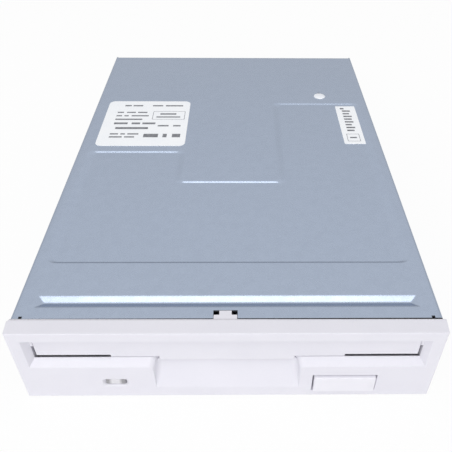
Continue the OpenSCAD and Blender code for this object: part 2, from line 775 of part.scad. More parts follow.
module lever_bar(l, w, turn) translate([lever_x, lever_y, 0]) rotate([0, 0, turn]) {
    block([0, l], [-w / 2, w / 2], [lever_z, lever_z + lever_t]);
    bar_z(w / 2, l, 0, [lever_z, lever_z + lever_t]);
}

module shutter_lever() color("#d9d6cc") place() difference() {
    union() {
        lever_bar(lever_l, 2 * tip_r + 0.6, 180 + lever_turn);
        lever_bar(tail_l, tail_w, 0);
        bar_z(3.2, lever_x, lever_y, [lever_z, lever_z + lever_t]);
        translate([lever_x, lever_y, 0]) rotate([0, 0, 180 + lever_turn])
            bar_z(tip_r, lever_l, 0, [seat_z + 1, lever_z + fit]);
    }
    bar_z(pivot_r + 0.1, lever_x, lever_y, [lever_z - cut, lever_z + lever_t + cut]);
}

module lever_pivot() color("#c9ccd2") place()
    bar_z(pivot_r, lever_x, lever_y, [14, lever_z + lever_t + 1.9]);

lever_coil_r = 2.3;
lever_wire = 0.18;
lever_turns = 2;
lever_pitch = 0.8;
lever_top = lever_z + lever_t;
lever_coil = [for (i = [0 : 8 * lever_turns]) [lever_x + lever_coil_r * cos(45 * i),
    lever_y + lever_coil_r * sin(45 * i), lever_top + 0.3 + lever_pitch * i / 8]];
lever_high = lever_top + 0.32 + lever_pitch * lever_turns;
lever_points = concat([[lever_x + lever_coil_r + 0.1, lever_y - 5, lever_top + 0.26],
    [lever_x + lever_coil_r, lever_y - 2, lever_top + 0.28]], lever_coil,
    [[lever_x + lever_coil_r, lever_y + 2, lever_high],
        [lever_x + lever_coil_r + 0.1, lever_y + 5, lever_high]]);
echo(lever_spring_gap = least_gap(lever_coil, 6, lever_wire));

module lever_spring() color("#8d9096") place() wire(lever_points, lever_wire, [0, 0, 1]);

// Spindle motor

motor_screws = [for (s = [-1, 1]) for (p = [[board_x - 5, spindle_y + 29], [board_x - 3, spindle_y - 28]])
    [s * p[0], p[1]]];

module motor_board() color("#3d5f45") place() difference() {
    union() {
        block([-board_x, board_x], [bar_y + 1, board_end], [board_z, floor_z]);
        block([-wing_x, wing_x], [16, bar_y + 2], [board_z, floor_z]);
        block([-wing_x, button_x - button_w / 2 - 1.2], [7.5, 17], [board_z, floor_z]);
        block([button_x + button_w / 2 + 1.1, wing_x], [7.5, 17], [board_z, floor_z]);
    }
    bar_z(4.25, 0, spindle_y, [board_z - cut, floor_z + cut]);
    for (p = motor_screws) bar_z(1.05, p[0], p[1], [board_z - cut, floor_z + cut]);
}

module motor_board_parts() color("#2b2d30") place() {
    block([-24, -12], [spindle_y + 7, spindle_y + 15], [board_z - 1.1, board_z]);
    block([14, 20], [spindle_y - 17, spindle_y - 11], [board_z - 0.9, board_z]);
    for (i = [0 : 4])
        block([16 + 3 * i, 17.6 + 3 * i], [spindle_y + 11, spindle_y + 14.2], [board_z - 0.7, board_z]);
    for (i = [0 : 3])
        block([-28, -24.8], [spindle_y - 21 + 4 * i, spindle_y - 19.4 + 4 * i], [board_z - 0.7, board_z]);
    block([-6, 10], [board_end - 5.6, board_end - 1.4], [board_z - 1, board_z]);
}

module motor_board_screws() color("#b4b7bb") place()
    for (p = motor_screws) low_screw(p[0], p[1], board_z, floor_top);

cable_x = [-4, 8];

module motor_flat_cable() color("#d8d4c6") place() along_x(cable_x)
    polygon([[board_end - 1.4, board_z - 0.7], [board_end + 0.6, board_z - 0.7],
        [main_y - 1.5, main_z - 0.25], [main_y + 3, main_z - 0.25],
        [main_y + 3, main_z], [main_y - 0.5, main_z],
        [board_end + 1, board_z - 0.45], [board_end - 1.4, board_z - 0.45]]);

module motor_bearing() color("#b08d57") place() difference() {
    union() {
        bar_z(4.2, 0, spindle_y, [board_z - 0.8, floor_z + fit]);
        bar_z(8, 0, spindle_y, [floor_z, core_z]);
        bar_z(5.8, 0, spindle_y, [core_z - fit, bush_top]);
    }
    bar_z(shaft_r + 0.03, 0, spindle_y, [board_z, bush_top + cut]);
}

module pole_set() for (i = [0 : poles - 1])
    translate([0, spindle_y, 0]) rotate([0, 0, (i + 0.5) * 360 / poles]) children();

module stator_core() color("#7c7f84") place() {
    ring_z([5.85, 8.6], 0, spindle_y, [core_z, core_z + core_t]);
    intersection() {
        bar_z(core_r, 0, spindle_y, [core_z, core_z + core_t]);
        pole_set() {
            block([8.2, core_r + 1], [-0.9, 0.9], [core_z, core_z + core_t]);
            block([core_r - 1.4, core_r + 1], [-3.6, 3.6], [core_z, core_z + core_t]);
        }
    }
}

module stator_coils() color("#b5632f") place() pole_set() difference() {
    block([10.4, core_r - 2], [-1.9, 1.9], [core_z - 0.6, core_z + core_t + 0.6]);
    block([10, core_r], [-0.95, 0.95], [core_z - 0.03, core_z + core_t + 0.03]);
}

module rotor_cup() color("#b9bcc2") place() {
    ring_z([6.03, rotor_r], 0, spindle_y, [rotor_top - rotor_t, rotor_top]);
    ring_z([rotor_r - skirt_t, rotor_r], 0, spindle_y, [skirt_z, rotor_top - rotor_t + fit]);
}

module rotor_magnet() color("#3a3b3e") place()
    ring_z([core_r + air_gap, rotor_r - skirt_t - 0.02], 0, spindle_y,
        [skirt_z + 0.2, rotor_top - rotor_t]);

module spindle_hub() color("#c8cacf") place() difference() {
    union() {
        bar_z(hub_r, 0, spindle_y, [rotor_top, hub_top]);
        bar_z(6, 0, spindle_y, [bush_top + 0.2, rotor_top + fit]);
    }
    bar_z(shaft_r + 0.02, 0, spindle_y, [bush_top, hub_top + cut]);
    bar_z(drive_pin_r + 0.15, drive_r, spindle_y, [rotor_top + 0.5, hub_top + cut]);
    ring_z([4.4, 7.6], 0, spindle_y, [hub_top - 1, hub_top + cut]);
}

module chuck_magnet() color("#4a4b50") place()
    ring_z([4.45, 7.55], 0, spindle_y, [hub_top - 1, hub_top - 0.1]);

module spindle_shaft() color("#d4d6da") place() {
    bar_z(shaft_r, 0, spindle_y, [board_z + 0.3, hub_top + 0.6]);
    bar_z(2, 0, spindle_y, [hub_top, hub_top + 1.6]);
    translate([0, spindle_y, hub_top + 1.6]) cylinder(r1 = 2, r2 = 1.2, h = 0.5);
}

module drive_pin() color("#d4d6da") place()
    bar_z(drive_pin_r, drive_r, spindle_y, [hub_top - 1.5, hub_top + 1.5]);

// Head carriage, with its level arm turned up about the hinge

module lifted() translate([0, arm_y, arm_z]) rotate([-arm_lift, 0, 0]) children();

module head_carriage() color("#c4c3bd") place() difference() {
    union() {
        block([-nose_x, nose_x], [head_y - 5, body_y + 2], [nose_z, nose_top]);
        block([-body_x, body_x], [body_y, body_end], [body_z, body_top]);
        bar_y(sleeve_r, rod_x, [sleeve_y, sleeve_y + sleeve_l], axis_z);
        block([body_x - fit, rod_x], [sleeve_y, sleeve_y + sleeve_l], [axis_z - 1.6, axis_z + sleeve_r]);
        block([rod_x, rod_x + 8], [head_y + 14, head_y + 20], [axis_z - 0.4, axis_z + 0.4]);
        both() {
            block([barrel_x + 0.25, body_x], [tower_y, body_end], [body_top - fit, arm_z]);
            block([barrel_x + 0.25, body_x], [arm_y - 1.6, arm_y + 1.6], [arm_z - 1, arm_z + 0.2]);
            bar_x(1.6, [barrel_x + 0.25, body_x], arm_y, arm_z);
        }
        block([-body_x, body_x], [tower_y, body_end], [body_top - fit, arm_z - tower_drop]);
        block([screw_x + 4.8, -body_x + fit], around(needle_y, 5), around(axis_z, 3.2));
    }
    bar_y(rod_r + 0.06, rod_x, [sleeve_y - cut, sleeve_y + sleeve_l + cut], axis_z);
    bar_x(arm_pin_r + 0.02, [-body_x - cut, body_x + cut], arm_y, arm_z);
    bar_x(needle_r + 0.02, [screw_x + 4.8 - cut, -body_x], needle_y, axis_z);
}

module lower_head() color("#6f6a63") place()
    block([-2.5, 2.5], [head_y - 2.5, head_y + 2.5], [nose_top, head_z - 0.05]);

module needle() color("#d4d6da") place()
    bar_x(needle_r, [screw_x + screw_r - thread_d + 0.35, -body_x - 0.5], needle_y, axis_z);

module upper_arm() color("#c4c3bd") place() lifted() difference() {
    union() {
        block([-6, 6], [-arm_l, -2.3], [arm_under, arm_under + arm_t]);
        block([-13.3, 13.3], [-15, -13], [arm_under, arm_under + arm_t]);
        block([-barrel_x, barrel_x], [-2.5, 0], [-1, arm_under + arm_t]);
        bar_x(barrel_r, [-barrel_x, barrel_x], 0, 0);
        block([-barrel_x, barrel_x], [-1.4, 0], [0, arm_under + arm_t]);
    }
    bar_x(arm_pin_r + 0.06, [-body_x, body_x], 0, 0);
}

module upper_head() color("#6f6a63") place() lifted()
    block([-2.5, 2.5], [-25.5, -20.5], [head_z + 0.1 - arm_z, arm_under]);

module arm_pin() color("#d4d6da") place() bar_x(arm_pin_r, [-body_x, body_x], arm_y, arm_z);

// leaf spring: its foot stands on the tower and its tip rests on the arm
module arm_spring() color("#8d9096") place() {
    leaf = arm_under + arm_t + 0.45;
    lifted() block([-3, 3], [-9, 3.2], [leaf, leaf + 0.2]);
    lifted() block([-3, 3], [-9, -8.5], [arm_under + arm_t + 0.02, leaf + fit]);
    block([-3, 3], [arm_y + 2.3, arm_y + 2.9], [arm_z - tower_drop, arm_z + 1.25]);
}

module guide_rod() color("#d4d6da") place() bar_y(rod_r, rod_x, [rod_front, rod_end], axis_z);

// Stepper

bracket_screws = [for (y = [ear_y + 6, flange_y - 8]) [screw_x - 5, y]];

module stepper_bracket() color("#aeb3ba") place() difference() {
    union() {
        block([screw_x - 7, screw_x + 6], [ear_y, case_y], [floor_top, floor_top + bracket_t]);
        block([screw_x - 3, screw_x + 3], [ear_y, ear_y + plate_t], [floor_top, axis_z + 2.6]);
        block([screw_x - 7, screw_x + 6], [flange_y, case_y], [floor_top, axis_z]);
        bar_y(case_r + 0.4, screw_x, [flange_y, case_y], axis_z);
    }
    block([screw_x - 9, screw_x + 9], [flange_y - cut, case_y + cut], [-1, floor_top]);
    bar_y(journal_r + 0.05, screw_x, [ear_y - cut, ear_y + plate_t + cut], axis_z);
    bar_y(2.4, screw_x, [flange_y - cut, case_y + cut], axis_z);
    for (p = bracket_screws) bar_z(1.05, p[0], p[1], [floor_top - cut, floor_top + 2]);
}

module stepper_screws() color("#b4b7bb") place() for (p = bracket_screws) {
    bar_z(1.9, p[0], p[1], [floor_top + bracket_t, floor_top + bracket_t + 0.9]);
    bar_z(0.95, p[0], p[1], [floor_z, floor_top + bracket_t + fit]);
}

module stepper_case() color("#b9bcc2") place() difference() {
    bar_y(case_r, screw_x, [case_y, case_end], axis_z);
    bar_y(case_r - 0.6, screw_x, [case_y + 0.6, case_end - 0.8], axis_z);
    bar_y(2.4, screw_x, [case_y - cut, case_y + 1], axis_z);
    bar_y(journal_r + 0.05, screw_x, [case_end - 1, case_end + cut], axis_z);
}

module stepper_coils() color("#b5632f") place() for (i = [0, 1]) {
    y0 = case_y + 0.6 + i * (case_l - 1.4) / 2;
    y = [y0, y0 + (case_l - 1.4) / 2 - 0.4];
    difference() {
        bar_y(case_r - 0.62, screw_x, y, axis_z);
        bar_y(4.6, screw_x, [y[0] - cut, y[1] + cut], axis_z);
    }
}

module stepper_rotor() color("#3a3b3e") place() difference() {
    bar_y(4.2, screw_x, [case_y + 1.4, case_end - 1.6], axis_z);
    bar_y(journal_r + 0.02, screw_x, [case_y, case_end], axis_z);
}

// profile with one shallow flute; turned along the screw it becomes the groove
thread_turns = thread_l / lead;
flute_span = 70;
flute = [for (i = [0 : 13])
    let (a = 360 * i / 14, off = min(a, 360 - a))
    let (r = screw_r - (off < flute_span ? thread_d * cos(off * 90 / flute_span) : 0))
    [r * cos(a), r * sin(a)]];

module lead_screw() color("#d4d6da") place() {
    start = -360 * (needle_y - thread_y) / lead;
    slices = ceil(10 * thread_turns);
    translate([screw_x, thread_y, axis_z]) rotate([-90, 0, 0]) rotate([0, 0, start])
        linear_extrude(height = thread_l, twist = -360 * thread_turns, slices = slices, $fn = 14)
            polygon(flute);
    bar_y(journal_r, screw_x, [ear_y - 0.3, thread_y + fit], axis_z);
    bar_y(journal_r, screw_x, [thread_y + thread_l - fit, case_end - 0.1], axis_z);
}

// Main board, connectors and sensors

main_screws = [for (s = [-1, 1]) for (p = [[rail_x + 1.4, tray_end - 9], [base_x - 10.5, main_y + 4]])
    [s * p[0], p[1]]];

module main_board() color("#2f5a3c") place() difference() {
    union() {
        block([5 - base_x, base_x - 5], [main_y, main_wide_y + cut], [main_z, floor_z]);
        block([-main_x, main_x], [main_wide_y, main_end], [main_z, floor_z]);
    }
    block([screw_x - 8.5, screw_x + 8.5], [case_y - 1, case_end + 1.5], [main_z - cut, floor_z + cut]);
    for (p = main_screws) bar_z(1.05, p[0], p[1], [main_z - cut, floor_z + cut]);
    through = [main_z - cut, floor_z + cut];
    at_pins() block(around(0, pin_s + 2 * fit), around(0, pin_s + 2 * fit), through);
    at_power() block(around(0, power_s + 2 * fit), around(0, power_s + 2 * fit), through);
}

module main_board_parts() color("#2b2d30") place() {
    block([8, 22], [main_y + 6, main_y + 20], [main_z - 0.9, main_z]);
    block([25, 34], [main_y + 9, main_y + 14], [main_z - 0.9, main_z]);
    block([power_x - 4, power_x + 5], [main_y + 15, main_y + 21], [main_z - 0.9, main_z]);
    for (i = [0 : 5]) block(around(24.8 + 3 * i, 1.6), around(base_y - 5.9, 3.2), [main_z - 0.6, main_z]);
    for (i = [0 : 3])
        block(around(power_x - 3.2 + 3 * i, 1.6), around(base_y - 4.4, 3.2), [main_z - 0.6, main_z]);
    for (x = [4, 9.2]) bar_z(2.5, power_right + x, base_end, [floor_z, floor_z + 5.4]);
}

module main_board_screws() color("#b4b7bb") place()
    for (p = main_screws) low_screw(p[0], p[1], main_z, floor_top);

// rows of right-angled pins: row 0 is the lower one
module at_pins() for (row = [0, 1]) for (i = [0 : data_n - 1])
    translate([data_pin_x(i), base_y - 1.3 - row * 2.2, 0]) children();

function data_pin_x(i) = data_x + (i - (data_n - 1) / 2) * pin_pitch;

function power_pin_x(i) = power_x + (i - 1.5) * 2.5;

module data_header() color("#25262a") place() difference() {
    hole = pin_s + 0.04;
    block(around(data_x, data_w), [base_y, base_end], [floor_z, row_z + pin_pitch + 2.1]);
    for (row = [0, 1]) for (i = [0 : data_n - 1])
        block(around(data_pin_x(i), hole), [base_y - cut, base_end + cut],
            around(row_z + row * pin_pitch, hole));
}

module data_pins() color("#c9b46a") place() for (row = [0, 1]) for (i = [0 : data_n - 1]) {
    x = around(data_pin_x(i), pin_s);
    y = base_y - 1.3 - row * 2.2;
    z = row_z + row * pin_pitch;
    block(x, [y - pin_s / 2, drive_l - 0.6], around(z, pin_s));
    block(x, around(y, pin_s), [main_z - 0.6, z + pin_s / 2]);
}

module at_power() for (i = [0 : 3]) translate([power_pin_x(i), base_y - 1.3, 0]) children();

module power_header() color("#e6e3da") place() difference() {
    union() {
        block(around(power_x, power_w), [base_y, base_y + 3], [floor_z, floor_z + 7]);
        for (s = [-1, 1])
            block(around(power_x + s * (power_w - cheek_t) / 2, cheek_t), [base_y, drive_l - 2.2],
                [floor_z, floor_z + 7]);
        block(around(power_x, power_w), [base_y, drive_l - 2.2], [floor_z, floor_z + cheek_t]);
    }
    for (i = [0 : 3])
        block(around(power_pin_x(i), power_s + 0.04), [base_y - cut, base_y + 4],
            around(power_z, power_s + 0.04));
}

module power_pins() color("#c4c6ca") place() for (i = [0 : 3]) {
    x = around(power_pin_x(i), power_s);
    y = base_y - 1.3;
    block(x, [y - power_s / 2, drive_l - 3], around(power_z, power_s));
    block(x, around(y, power_s), [main_z - 0.6, power_z + power_s / 2]);
}

socket_x = [data_left - 8.5, data_left - 0.9];
socket_y = max(floor_end, case_end) + 0.6;
ribbon_gap = 0.5;
ribbon_x = [max(data_left - 7.5, screw_x + case_r + ribbon_gap), data_left - 1.9];
loop_y = socket_y + 7.9;
loop_r = 2.2;
ribbon_z = floor_z + 1.3;

module flex_socket() color("#e6e3da") place()
    block(socket_x, [socket_y, socket_y + 3.4], [floor_z, floor_z + 2.4]);

module head_flex_cable() color("#b98a3e") place() {
    low = ribbon_z;
    high = low + 2 * loop_r;
    block(ribbon_x, [body_end, loop_y], [high - 0.1, high + 0.1]);
    block(ribbon_x, [socket_y + 3.4, loop_y], [low - 0.1, low + 0.1]);
    intersection() {
        difference() {
            bar_x(loop_r + 0.1, ribbon_x, loop_y, low + loop_r);
            bar_x(loop_r - 0.1, [ribbon_x[0] - cut, ribbon_x[1] + cut], loop_y, low + loop_r);
        }
        block([ribbon_x[0] - 1, ribbon_x[1] + 1], [loop_y, loop_y + 2 * loop_r], [low - 1, high + 1]);
    }
}

module switch_body(x, hole_x) difference() {
    block(x, [plunger_y - 3, plunger_y + 3], [floor_z, switch_top]);
    bar_z(plunger_r + 0.08, hole_x, plunger_y, [seat_z - 7, switch_top + cut]);
}

module switch_bodies() color("#303236") place() {
    both() switch_body([switch_x, switch_x + 6], plunger_x);
    switch_body([third_x - 2.9, third_x + 2.9], third_x);
}

module plunger(x) bar_z(plunger_r, x, plunger_y, [seat_z - 4, plunger_top]);

module write_protect_plunger() color("#dfe1e4") place() plunger(-plunger_x);

module density_plunger() color("#dfe1e4") place() plunger(plunger_x);

module disk_in_plunger() color("#dfe1e4") place() plunger(third_x);

module track_zero_sensor() color("#303236") place() difference() {
    block([rod_x + 4.6, rod_x + 11], [head_y + 14.5, head_y + 19], [floor_top, axis_z + 3.2]);
    block([rod_x + 4, rod_x + 9], [head_y + 14, head_y + 19.5], [axis_z - 1.2, axis_z + 1.2]);
}

chassis();
top_cover();
bezel();
slot_door();
door_spring();
eject_button();
led_lens();
activity_led();
disk_holder();
holder_pins();
eject_slider();
slider_studs();
return_springs();
shutter_lever();
lever_pivot();
lever_spring();
motor_board();
motor_board_parts();
motor_board_screws();
motor_flat_cable();
motor_bearing();
stator_core();
stator_coils();
rotor_cup();
rotor_magnet();
spindle_hub();
chuck_magnet();
spindle_shaft();
drive_pin();
head_carriage();
lower_head();
needle();
upper_arm();
upper_head();
arm_pin();
arm_spring();
guide_rod();
stepper_bracket();
stepper_case();
stepper_coils();
stepper_rotor();
lead_screw();
stepper_screws();
main_board();
main_board_parts();
main_board_screws();
data_header();
data_pins();
power_header();
power_pins();
flex_socket();
head_flex_cable();
switch_bodies();
write_protect_plunger();
density_plunger();
disk_in_plunger();
track_zero_sensor();
rating_label();
code_label();
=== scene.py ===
# An internal drive for 3.5 inch disks: a cast tray with its mechanism, a moulded front panel
# and a pressed steel cover. Lengths in the sections are in millimetres, with Y counted from
# the face of the front panel; at() turns them into the frame's metres.
import json
import math

import bmesh
import bpy
import numpy as np
from mathutils import Matrix, Vector

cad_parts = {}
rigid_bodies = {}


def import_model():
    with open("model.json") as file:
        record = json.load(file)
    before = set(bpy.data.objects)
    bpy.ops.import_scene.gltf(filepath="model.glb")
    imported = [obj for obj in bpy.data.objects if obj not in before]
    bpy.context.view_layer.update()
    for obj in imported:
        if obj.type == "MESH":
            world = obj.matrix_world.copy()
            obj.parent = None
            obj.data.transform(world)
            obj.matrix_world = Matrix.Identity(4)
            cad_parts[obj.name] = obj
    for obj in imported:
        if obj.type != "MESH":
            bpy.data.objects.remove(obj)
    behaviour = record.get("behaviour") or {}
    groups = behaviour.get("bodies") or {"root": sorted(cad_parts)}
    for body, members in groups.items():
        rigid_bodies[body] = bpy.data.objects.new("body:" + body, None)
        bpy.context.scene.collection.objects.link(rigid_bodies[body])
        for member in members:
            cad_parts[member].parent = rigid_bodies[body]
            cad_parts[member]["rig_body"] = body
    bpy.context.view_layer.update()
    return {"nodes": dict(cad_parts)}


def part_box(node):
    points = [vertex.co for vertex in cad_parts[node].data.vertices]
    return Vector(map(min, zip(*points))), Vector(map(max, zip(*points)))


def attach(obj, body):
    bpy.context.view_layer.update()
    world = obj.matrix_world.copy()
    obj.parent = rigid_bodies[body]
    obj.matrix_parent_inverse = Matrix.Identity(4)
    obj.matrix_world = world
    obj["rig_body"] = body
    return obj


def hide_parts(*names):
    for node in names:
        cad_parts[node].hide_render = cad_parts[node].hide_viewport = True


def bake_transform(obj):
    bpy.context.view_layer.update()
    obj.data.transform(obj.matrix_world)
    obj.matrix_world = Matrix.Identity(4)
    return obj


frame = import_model()


# Studio: a pale floor that the drive stands on, white all round, one broad soft lamp high over
# the front and another further off, lower and to the left. The camera stands close above the
# front panel and looks down along the cover.
scene = bpy.context.scene
scene.view_settings.view_transform = "Standard"
face_y = 72.2  # from the panel's face back to the frame's origin


def at(x, y, z):
    """A place in the frame's metres."""
    return Vector((x, y - face_y, z)) / 1000


def linked(name, data):
    """A new object in the scene."""
    made = bpy.data.objects.new(name, data)
    scene.collection.objects.link(made)
    return made


def put(tree, kind, sockets=None, **settings):
    """One node of a tree. A socket given as a value is linked, a plain value is set."""
    made = tree.nodes.new(kind)
    for key, value in settings.items():
        setattr(made, key, value)
    for key, value in (sockets or {}).items():
        if isinstance(value, bpy.types.NodeSocket):
            tree.links.new(value, made.inputs[key])
        else:
            made.inputs[key].default_value = value
    return made


def calc(tree, operation, *values):
    return put(tree, "ShaderNodeMath", dict(enumerate(values)), operation=operation).outputs[0]


def seen_directly(tree):
    """1 for what the camera, a reflection or a view through glass sees, 0 for lighting."""
    path = put(tree, "ShaderNodeLightPath").outputs
    mirrored = calc(tree, "MAXIMUM", path["Is Camera Ray"], path["Is Glossy Ray"])
    return calc(tree, "MAXIMUM", mirrored, path["Is Transmission Ray"])


camera = scene.camera = linked("camera", bpy.data.cameras.new("camera"))
camera.data.sensor_fit = "HORIZONTAL"
camera.data.sensor_width = 36
camera.data.lens = 43.765
camera.data.shift_x = -0.0482
camera.data.shift_y = -0.0697
camera.data.clip_start = 0.01
pitch, yaw, roll = (math.radians(v) for v in (38.763, 0.977, 0.62))
ahead = Vector((math.sin(yaw) * math.cos(pitch), math.cos(yaw) * math.cos(pitch), -math.sin(pitch)))
level = Vector((math.cos(yaw), -math.sin(yaw), 0))
upright = level.cross(ahead)
right = level * math.cos(roll) + upright * math.sin(roll)
over = upright * math.cos(roll) - level * math.sin(roll)
stand = at(2.96, -76.94, 127.35)
camera.matrix_world = Matrix(
    [(*axis, place) for axis, place in zip(zip(right, over, -ahead), stand)] + [(0, 0, 0, 1)])

# white where it is seen, weaker as a light, and in reflections darker towards the horizon
room = scene.world = bpy.data.worlds.new("white_room")
room.use_nodes = True
tree = room.node_tree
backdrop = tree.nodes["Background"].inputs
backdrop["Color"].default_value = (1, 1, 1, 1)
skyward = put(tree, "ShaderNodeSeparateXYZ", {0: put(tree, "ShaderNodeTexCoord").outputs["Generated"]})
falloff = put(tree, "ShaderNodeMapRange", {
    "Value": skyward.outputs[2], "From Max": 0.66, "To Min": 0.56}).outputs[0]
straight = calc(tree, "SUBTRACT", 1.0, put(tree, "ShaderNodeLightPath").outputs["Is Glossy Ray"])
as_light = 0.60
strength = calc(tree, "MULTIPLY_ADD", seen_directly(tree), 1 - as_light, as_light)
strength = calc(tree, "MULTIPLY", strength, calc(tree, "MAXIMUM", falloff, straight))
tree.links.new(strength, backdrop["Strength"])


def lamp(name, wide, deep, power, place, aim):
    """A soft rectangular lamp turned towards a point."""
    light = linked(name, bpy.data.lights.new(name, "AREA"))
    light.data.shape = "RECTANGLE"
    light.data.size, light.data.size_y, light.data.energy = wide, deep, power
    turn = (Vector(aim) - Vector(place)).to_track_quat("-Z", "Y").to_matrix().to_4x4()
    light.matrix_world = Matrix.Translation(place) @ turn


lamp("lamp_over_front", 0.95, 0.5, 3.1, (0, -0.40, 1.0), (0, -0.06, 0.02))
lamp("lamp_front", 0.9, 0.55, 4.2, (-0.30, -1.03, 0.55), (0, -0.06, 0.01))

half, sunk = 4, -3e-5
corners = [(x * half, y * half, sunk) for x, y in ((-1, -1), (1, -1), (1, 1), (-1, 1))]
floor = linked("studio_floor", bpy.data.meshes.new("studio_floor"))
floor.data.from_pydata(corners, [], [(0, 1, 2, 3)])
floor_paint = bpy.data.materials.new("studio_floor_paint")
floor_paint.use_nodes = True
tree = floor_paint.node_tree
matt = tree.nodes["Principled BSDF"]
for label, value in (("Base Color", (0.9, 0.9, 0.9, 1)), ("Roughness", 0.9), ("Specular IOR Level", 0.1)):
    matt.inputs[label].default_value = value
glow = put(tree, "ShaderNodeEmission", {"Color": (1, 1, 1, 1), "Strength": 1.0})
glow_share = calc(tree, "MULTIPLY", seen_directly(tree), 0.92)
mixed = put(tree, "ShaderNodeMixShader", {0: glow_share, 1: matt.outputs[0], 2: glow.outputs[0]})
tree.links.new(mixed.outputs[0], tree.nodes["Material Output"].inputs["Surface"])
floor.data.materials.append(floor_paint)


# Tray: the die-cast aluminium body that carries everything, with side walls, bosses and posts
# cast in one. Its edges come out of the die slightly rounded and its skin is finely pitted.
def tint(red, green, blue):
    """Linear colour from screen values of 0 to 255."""
    parts = (v / 255 for v in (red, green, blue))
    return tuple(v / 12.92 if v <= 0.04045 else ((v + 0.055) / 1.055) ** 2.4 for v in parts) + (1.0,)


def pattern(name, **given):
    """An empty shader group with named inputs; it puts out Colour, Roughness and Height."""
    group = bpy.data.node_groups.new(name, "ShaderNodeTree")
    for label, value in given.items():
        kind = "NodeSocketColor" if isinstance(value, tuple) else "NodeSocketFloat"
        group.interface.new_socket(label, in_out="INPUT", socket_type=kind).default_value = value
    for label, kind in (("Colour", "Color"), ("Roughness", "Float"), ("Height", "Float")):
        group.interface.new_socket(label, in_out="OUTPUT", socket_type="NodeSocket" + kind)
    place = put(group, "ShaderNodeTexCoord").outputs["Object"]
    return group, place, put(group, "NodeGroupInput").outputs


def close_pattern(group, colour, roughness, height):
    put(group, "NodeGroupOutput", {"Colour": colour, "Roughness": roughness, "Height": height})
    return group


def noise(tree, place, scale, detail=2.0):
    sockets = {"Vector": place, "Scale": scale, "Detail": detail}
    return put(tree, "ShaderNodeTexNoise", sockets).outputs["Fac"]


def mix(tree, factor, first, second):
    return put(tree, "ShaderNodeMix", {0: factor, 6: first, 7: second}, data_type="RGBA").outputs[2]


def ramp(tree, value, low, high):
    """0 below low, 1 above high."""
    return put(tree, "ShaderNodeMapRange", {0: value, 1: low, 2: high}).outputs[0]


# fine grain over slow, faint blotches
tree, place, take = pattern(
    "surface_grain", Colour=(0.8, 0.8, 0.8, 1), Shade=(0.6, 0.6, 0.6, 1), Amount=0.5, Grain=0.3,
    Blotch=9.0, Rough=0.5, Spread=0.1)
fine = noise(tree, place, calc(tree, "DIVIDE", 1000, take["Grain"]))
slow = noise(tree, place, calc(tree, "DIVIDE", 1000, take["Blotch"]), 3.0)
both = calc(tree, "MULTIPLY", calc(tree, "ADD", fine, slow), 0.5)
share = calc(tree, "MULTIPLY", ramp(tree, both, 0.36, 0.66), take["Amount"])
surface_grain = close_pattern(
    tree, mix(tree, share, take["Colour"], take["Shade"]),
    calc(tree, "MULTIPLY_ADD", calc(tree, "SUBTRACT", slow, 0.5), take["Spread"], take["Rough"]),
    fine)


def finish(name, group=surface_grain, bump=0.0, depth=0.02, **given):
    """A material: one Principled shader led by a pattern group; depth is the bump's, in mm.
    Values are the group's where it has such an input, with colours of 0 to 255, or the shader's."""
    material = bpy.data.materials.new(name)
    material.use_nodes = True
    tree = material.node_tree
    shader = tree.nodes["Principled BSDF"].inputs
    lead = put(tree, "ShaderNodeGroup", node_tree=group)
    for label, value in given.items():
        socket = lead.inputs[label] if label in lead.inputs else shader[label.replace("_", " ")]
        socket.default_value = tint(*value) if isinstance(value, tuple) else value
    tree.links.new(lead.outputs["Colour"], shader["Base Color"])
    tree.links.new(lead.outputs["Roughness"], shader["Roughness"])
    if bump:
        relief = put(tree, "ShaderNodeBump", {
            "Strength": bump, "Distance": depth / 1000, "Height": lead.outputs["Height"]})
        tree.links.new(relief.outputs[0], shader["Normal"])
    return material


def settle(piece):
    """The piece as a plain mesh at the origin, with its modifiers applied."""
    bpy.context.view_layer.update()
    ready = bpy.data.meshes.new_from_object(piece.evaluated_get(bpy.context.evaluated_depsgraph_get()))
    name = piece.name
    bpy.data.objects.remove(piece)
    return linked(name, ready)


def meshed(name, shape, *materials):
    """Ends the editing of a shape and keeps it as a mesh."""
    mesh = bpy.data.meshes.new(name)
    shape.to_mesh(mesh)
    shape.free()
    for material in materials:
        mesh.materials.append(material)
    return mesh


def seat(piece, body, slot, *nodes):
    """Fixes a piece to a body, in place of CAD nodes where it stands for any."""
    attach(piece, body)
    if nodes:
        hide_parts(*nodes)
    return piece


def lead_normals(mesh):
    """Sets normals that follow the broad flat faces, so that rounded edges run out flush in them."""
    share_within, one_plane = math.cos(math.radians(32)), 0.9999  # cosines between two faces
    broad, small = 1.2e-6, 0.3  # square metres, and a neighbour's share of that face
    normal = [face.normal.copy() for face in mesh.polygons]
    area = [face.area for face in mesh.polygons]
    meets, beside = {}, {}
    for face in mesh.polygons:
        for corner in face.vertices:
            meets.setdefault(corner, []).append(face.index)
        for edge in face.edge_keys:
            beside.setdefault(edge, []).append(face.index)

    def leads(face):
        own = normal[face.index]
        turned = [i for edge in face.edge_keys for i in beside[edge]
                  if share_within < own.dot(normal[i]) < one_plane]
        return face.area > broad and all(area[i] < small * face.area for i in turned)

    flat = {face.index for face in mesh.polygons if leads(face)}
    made = [None] * len(mesh.loops)
    for face in mesh.polygons:
        own = normal[face.index]
        for loop, corner in zip(face.loop_indices, face.vertices):
            near = [i for i in meets[corner] if own.dot(normal[i]) > share_within]
            led = [face.index] if face.index in flat else [i for i in near if i in flat]
            if led:
                made[loop] = normal[max(led, key=lambda i: own.dot(normal[i]))]
            else:
                made[loop] = sum((normal[i] * area[i] for i in near), own * 1e-9).normalized()
    mesh.normals_split_custom_set(made)


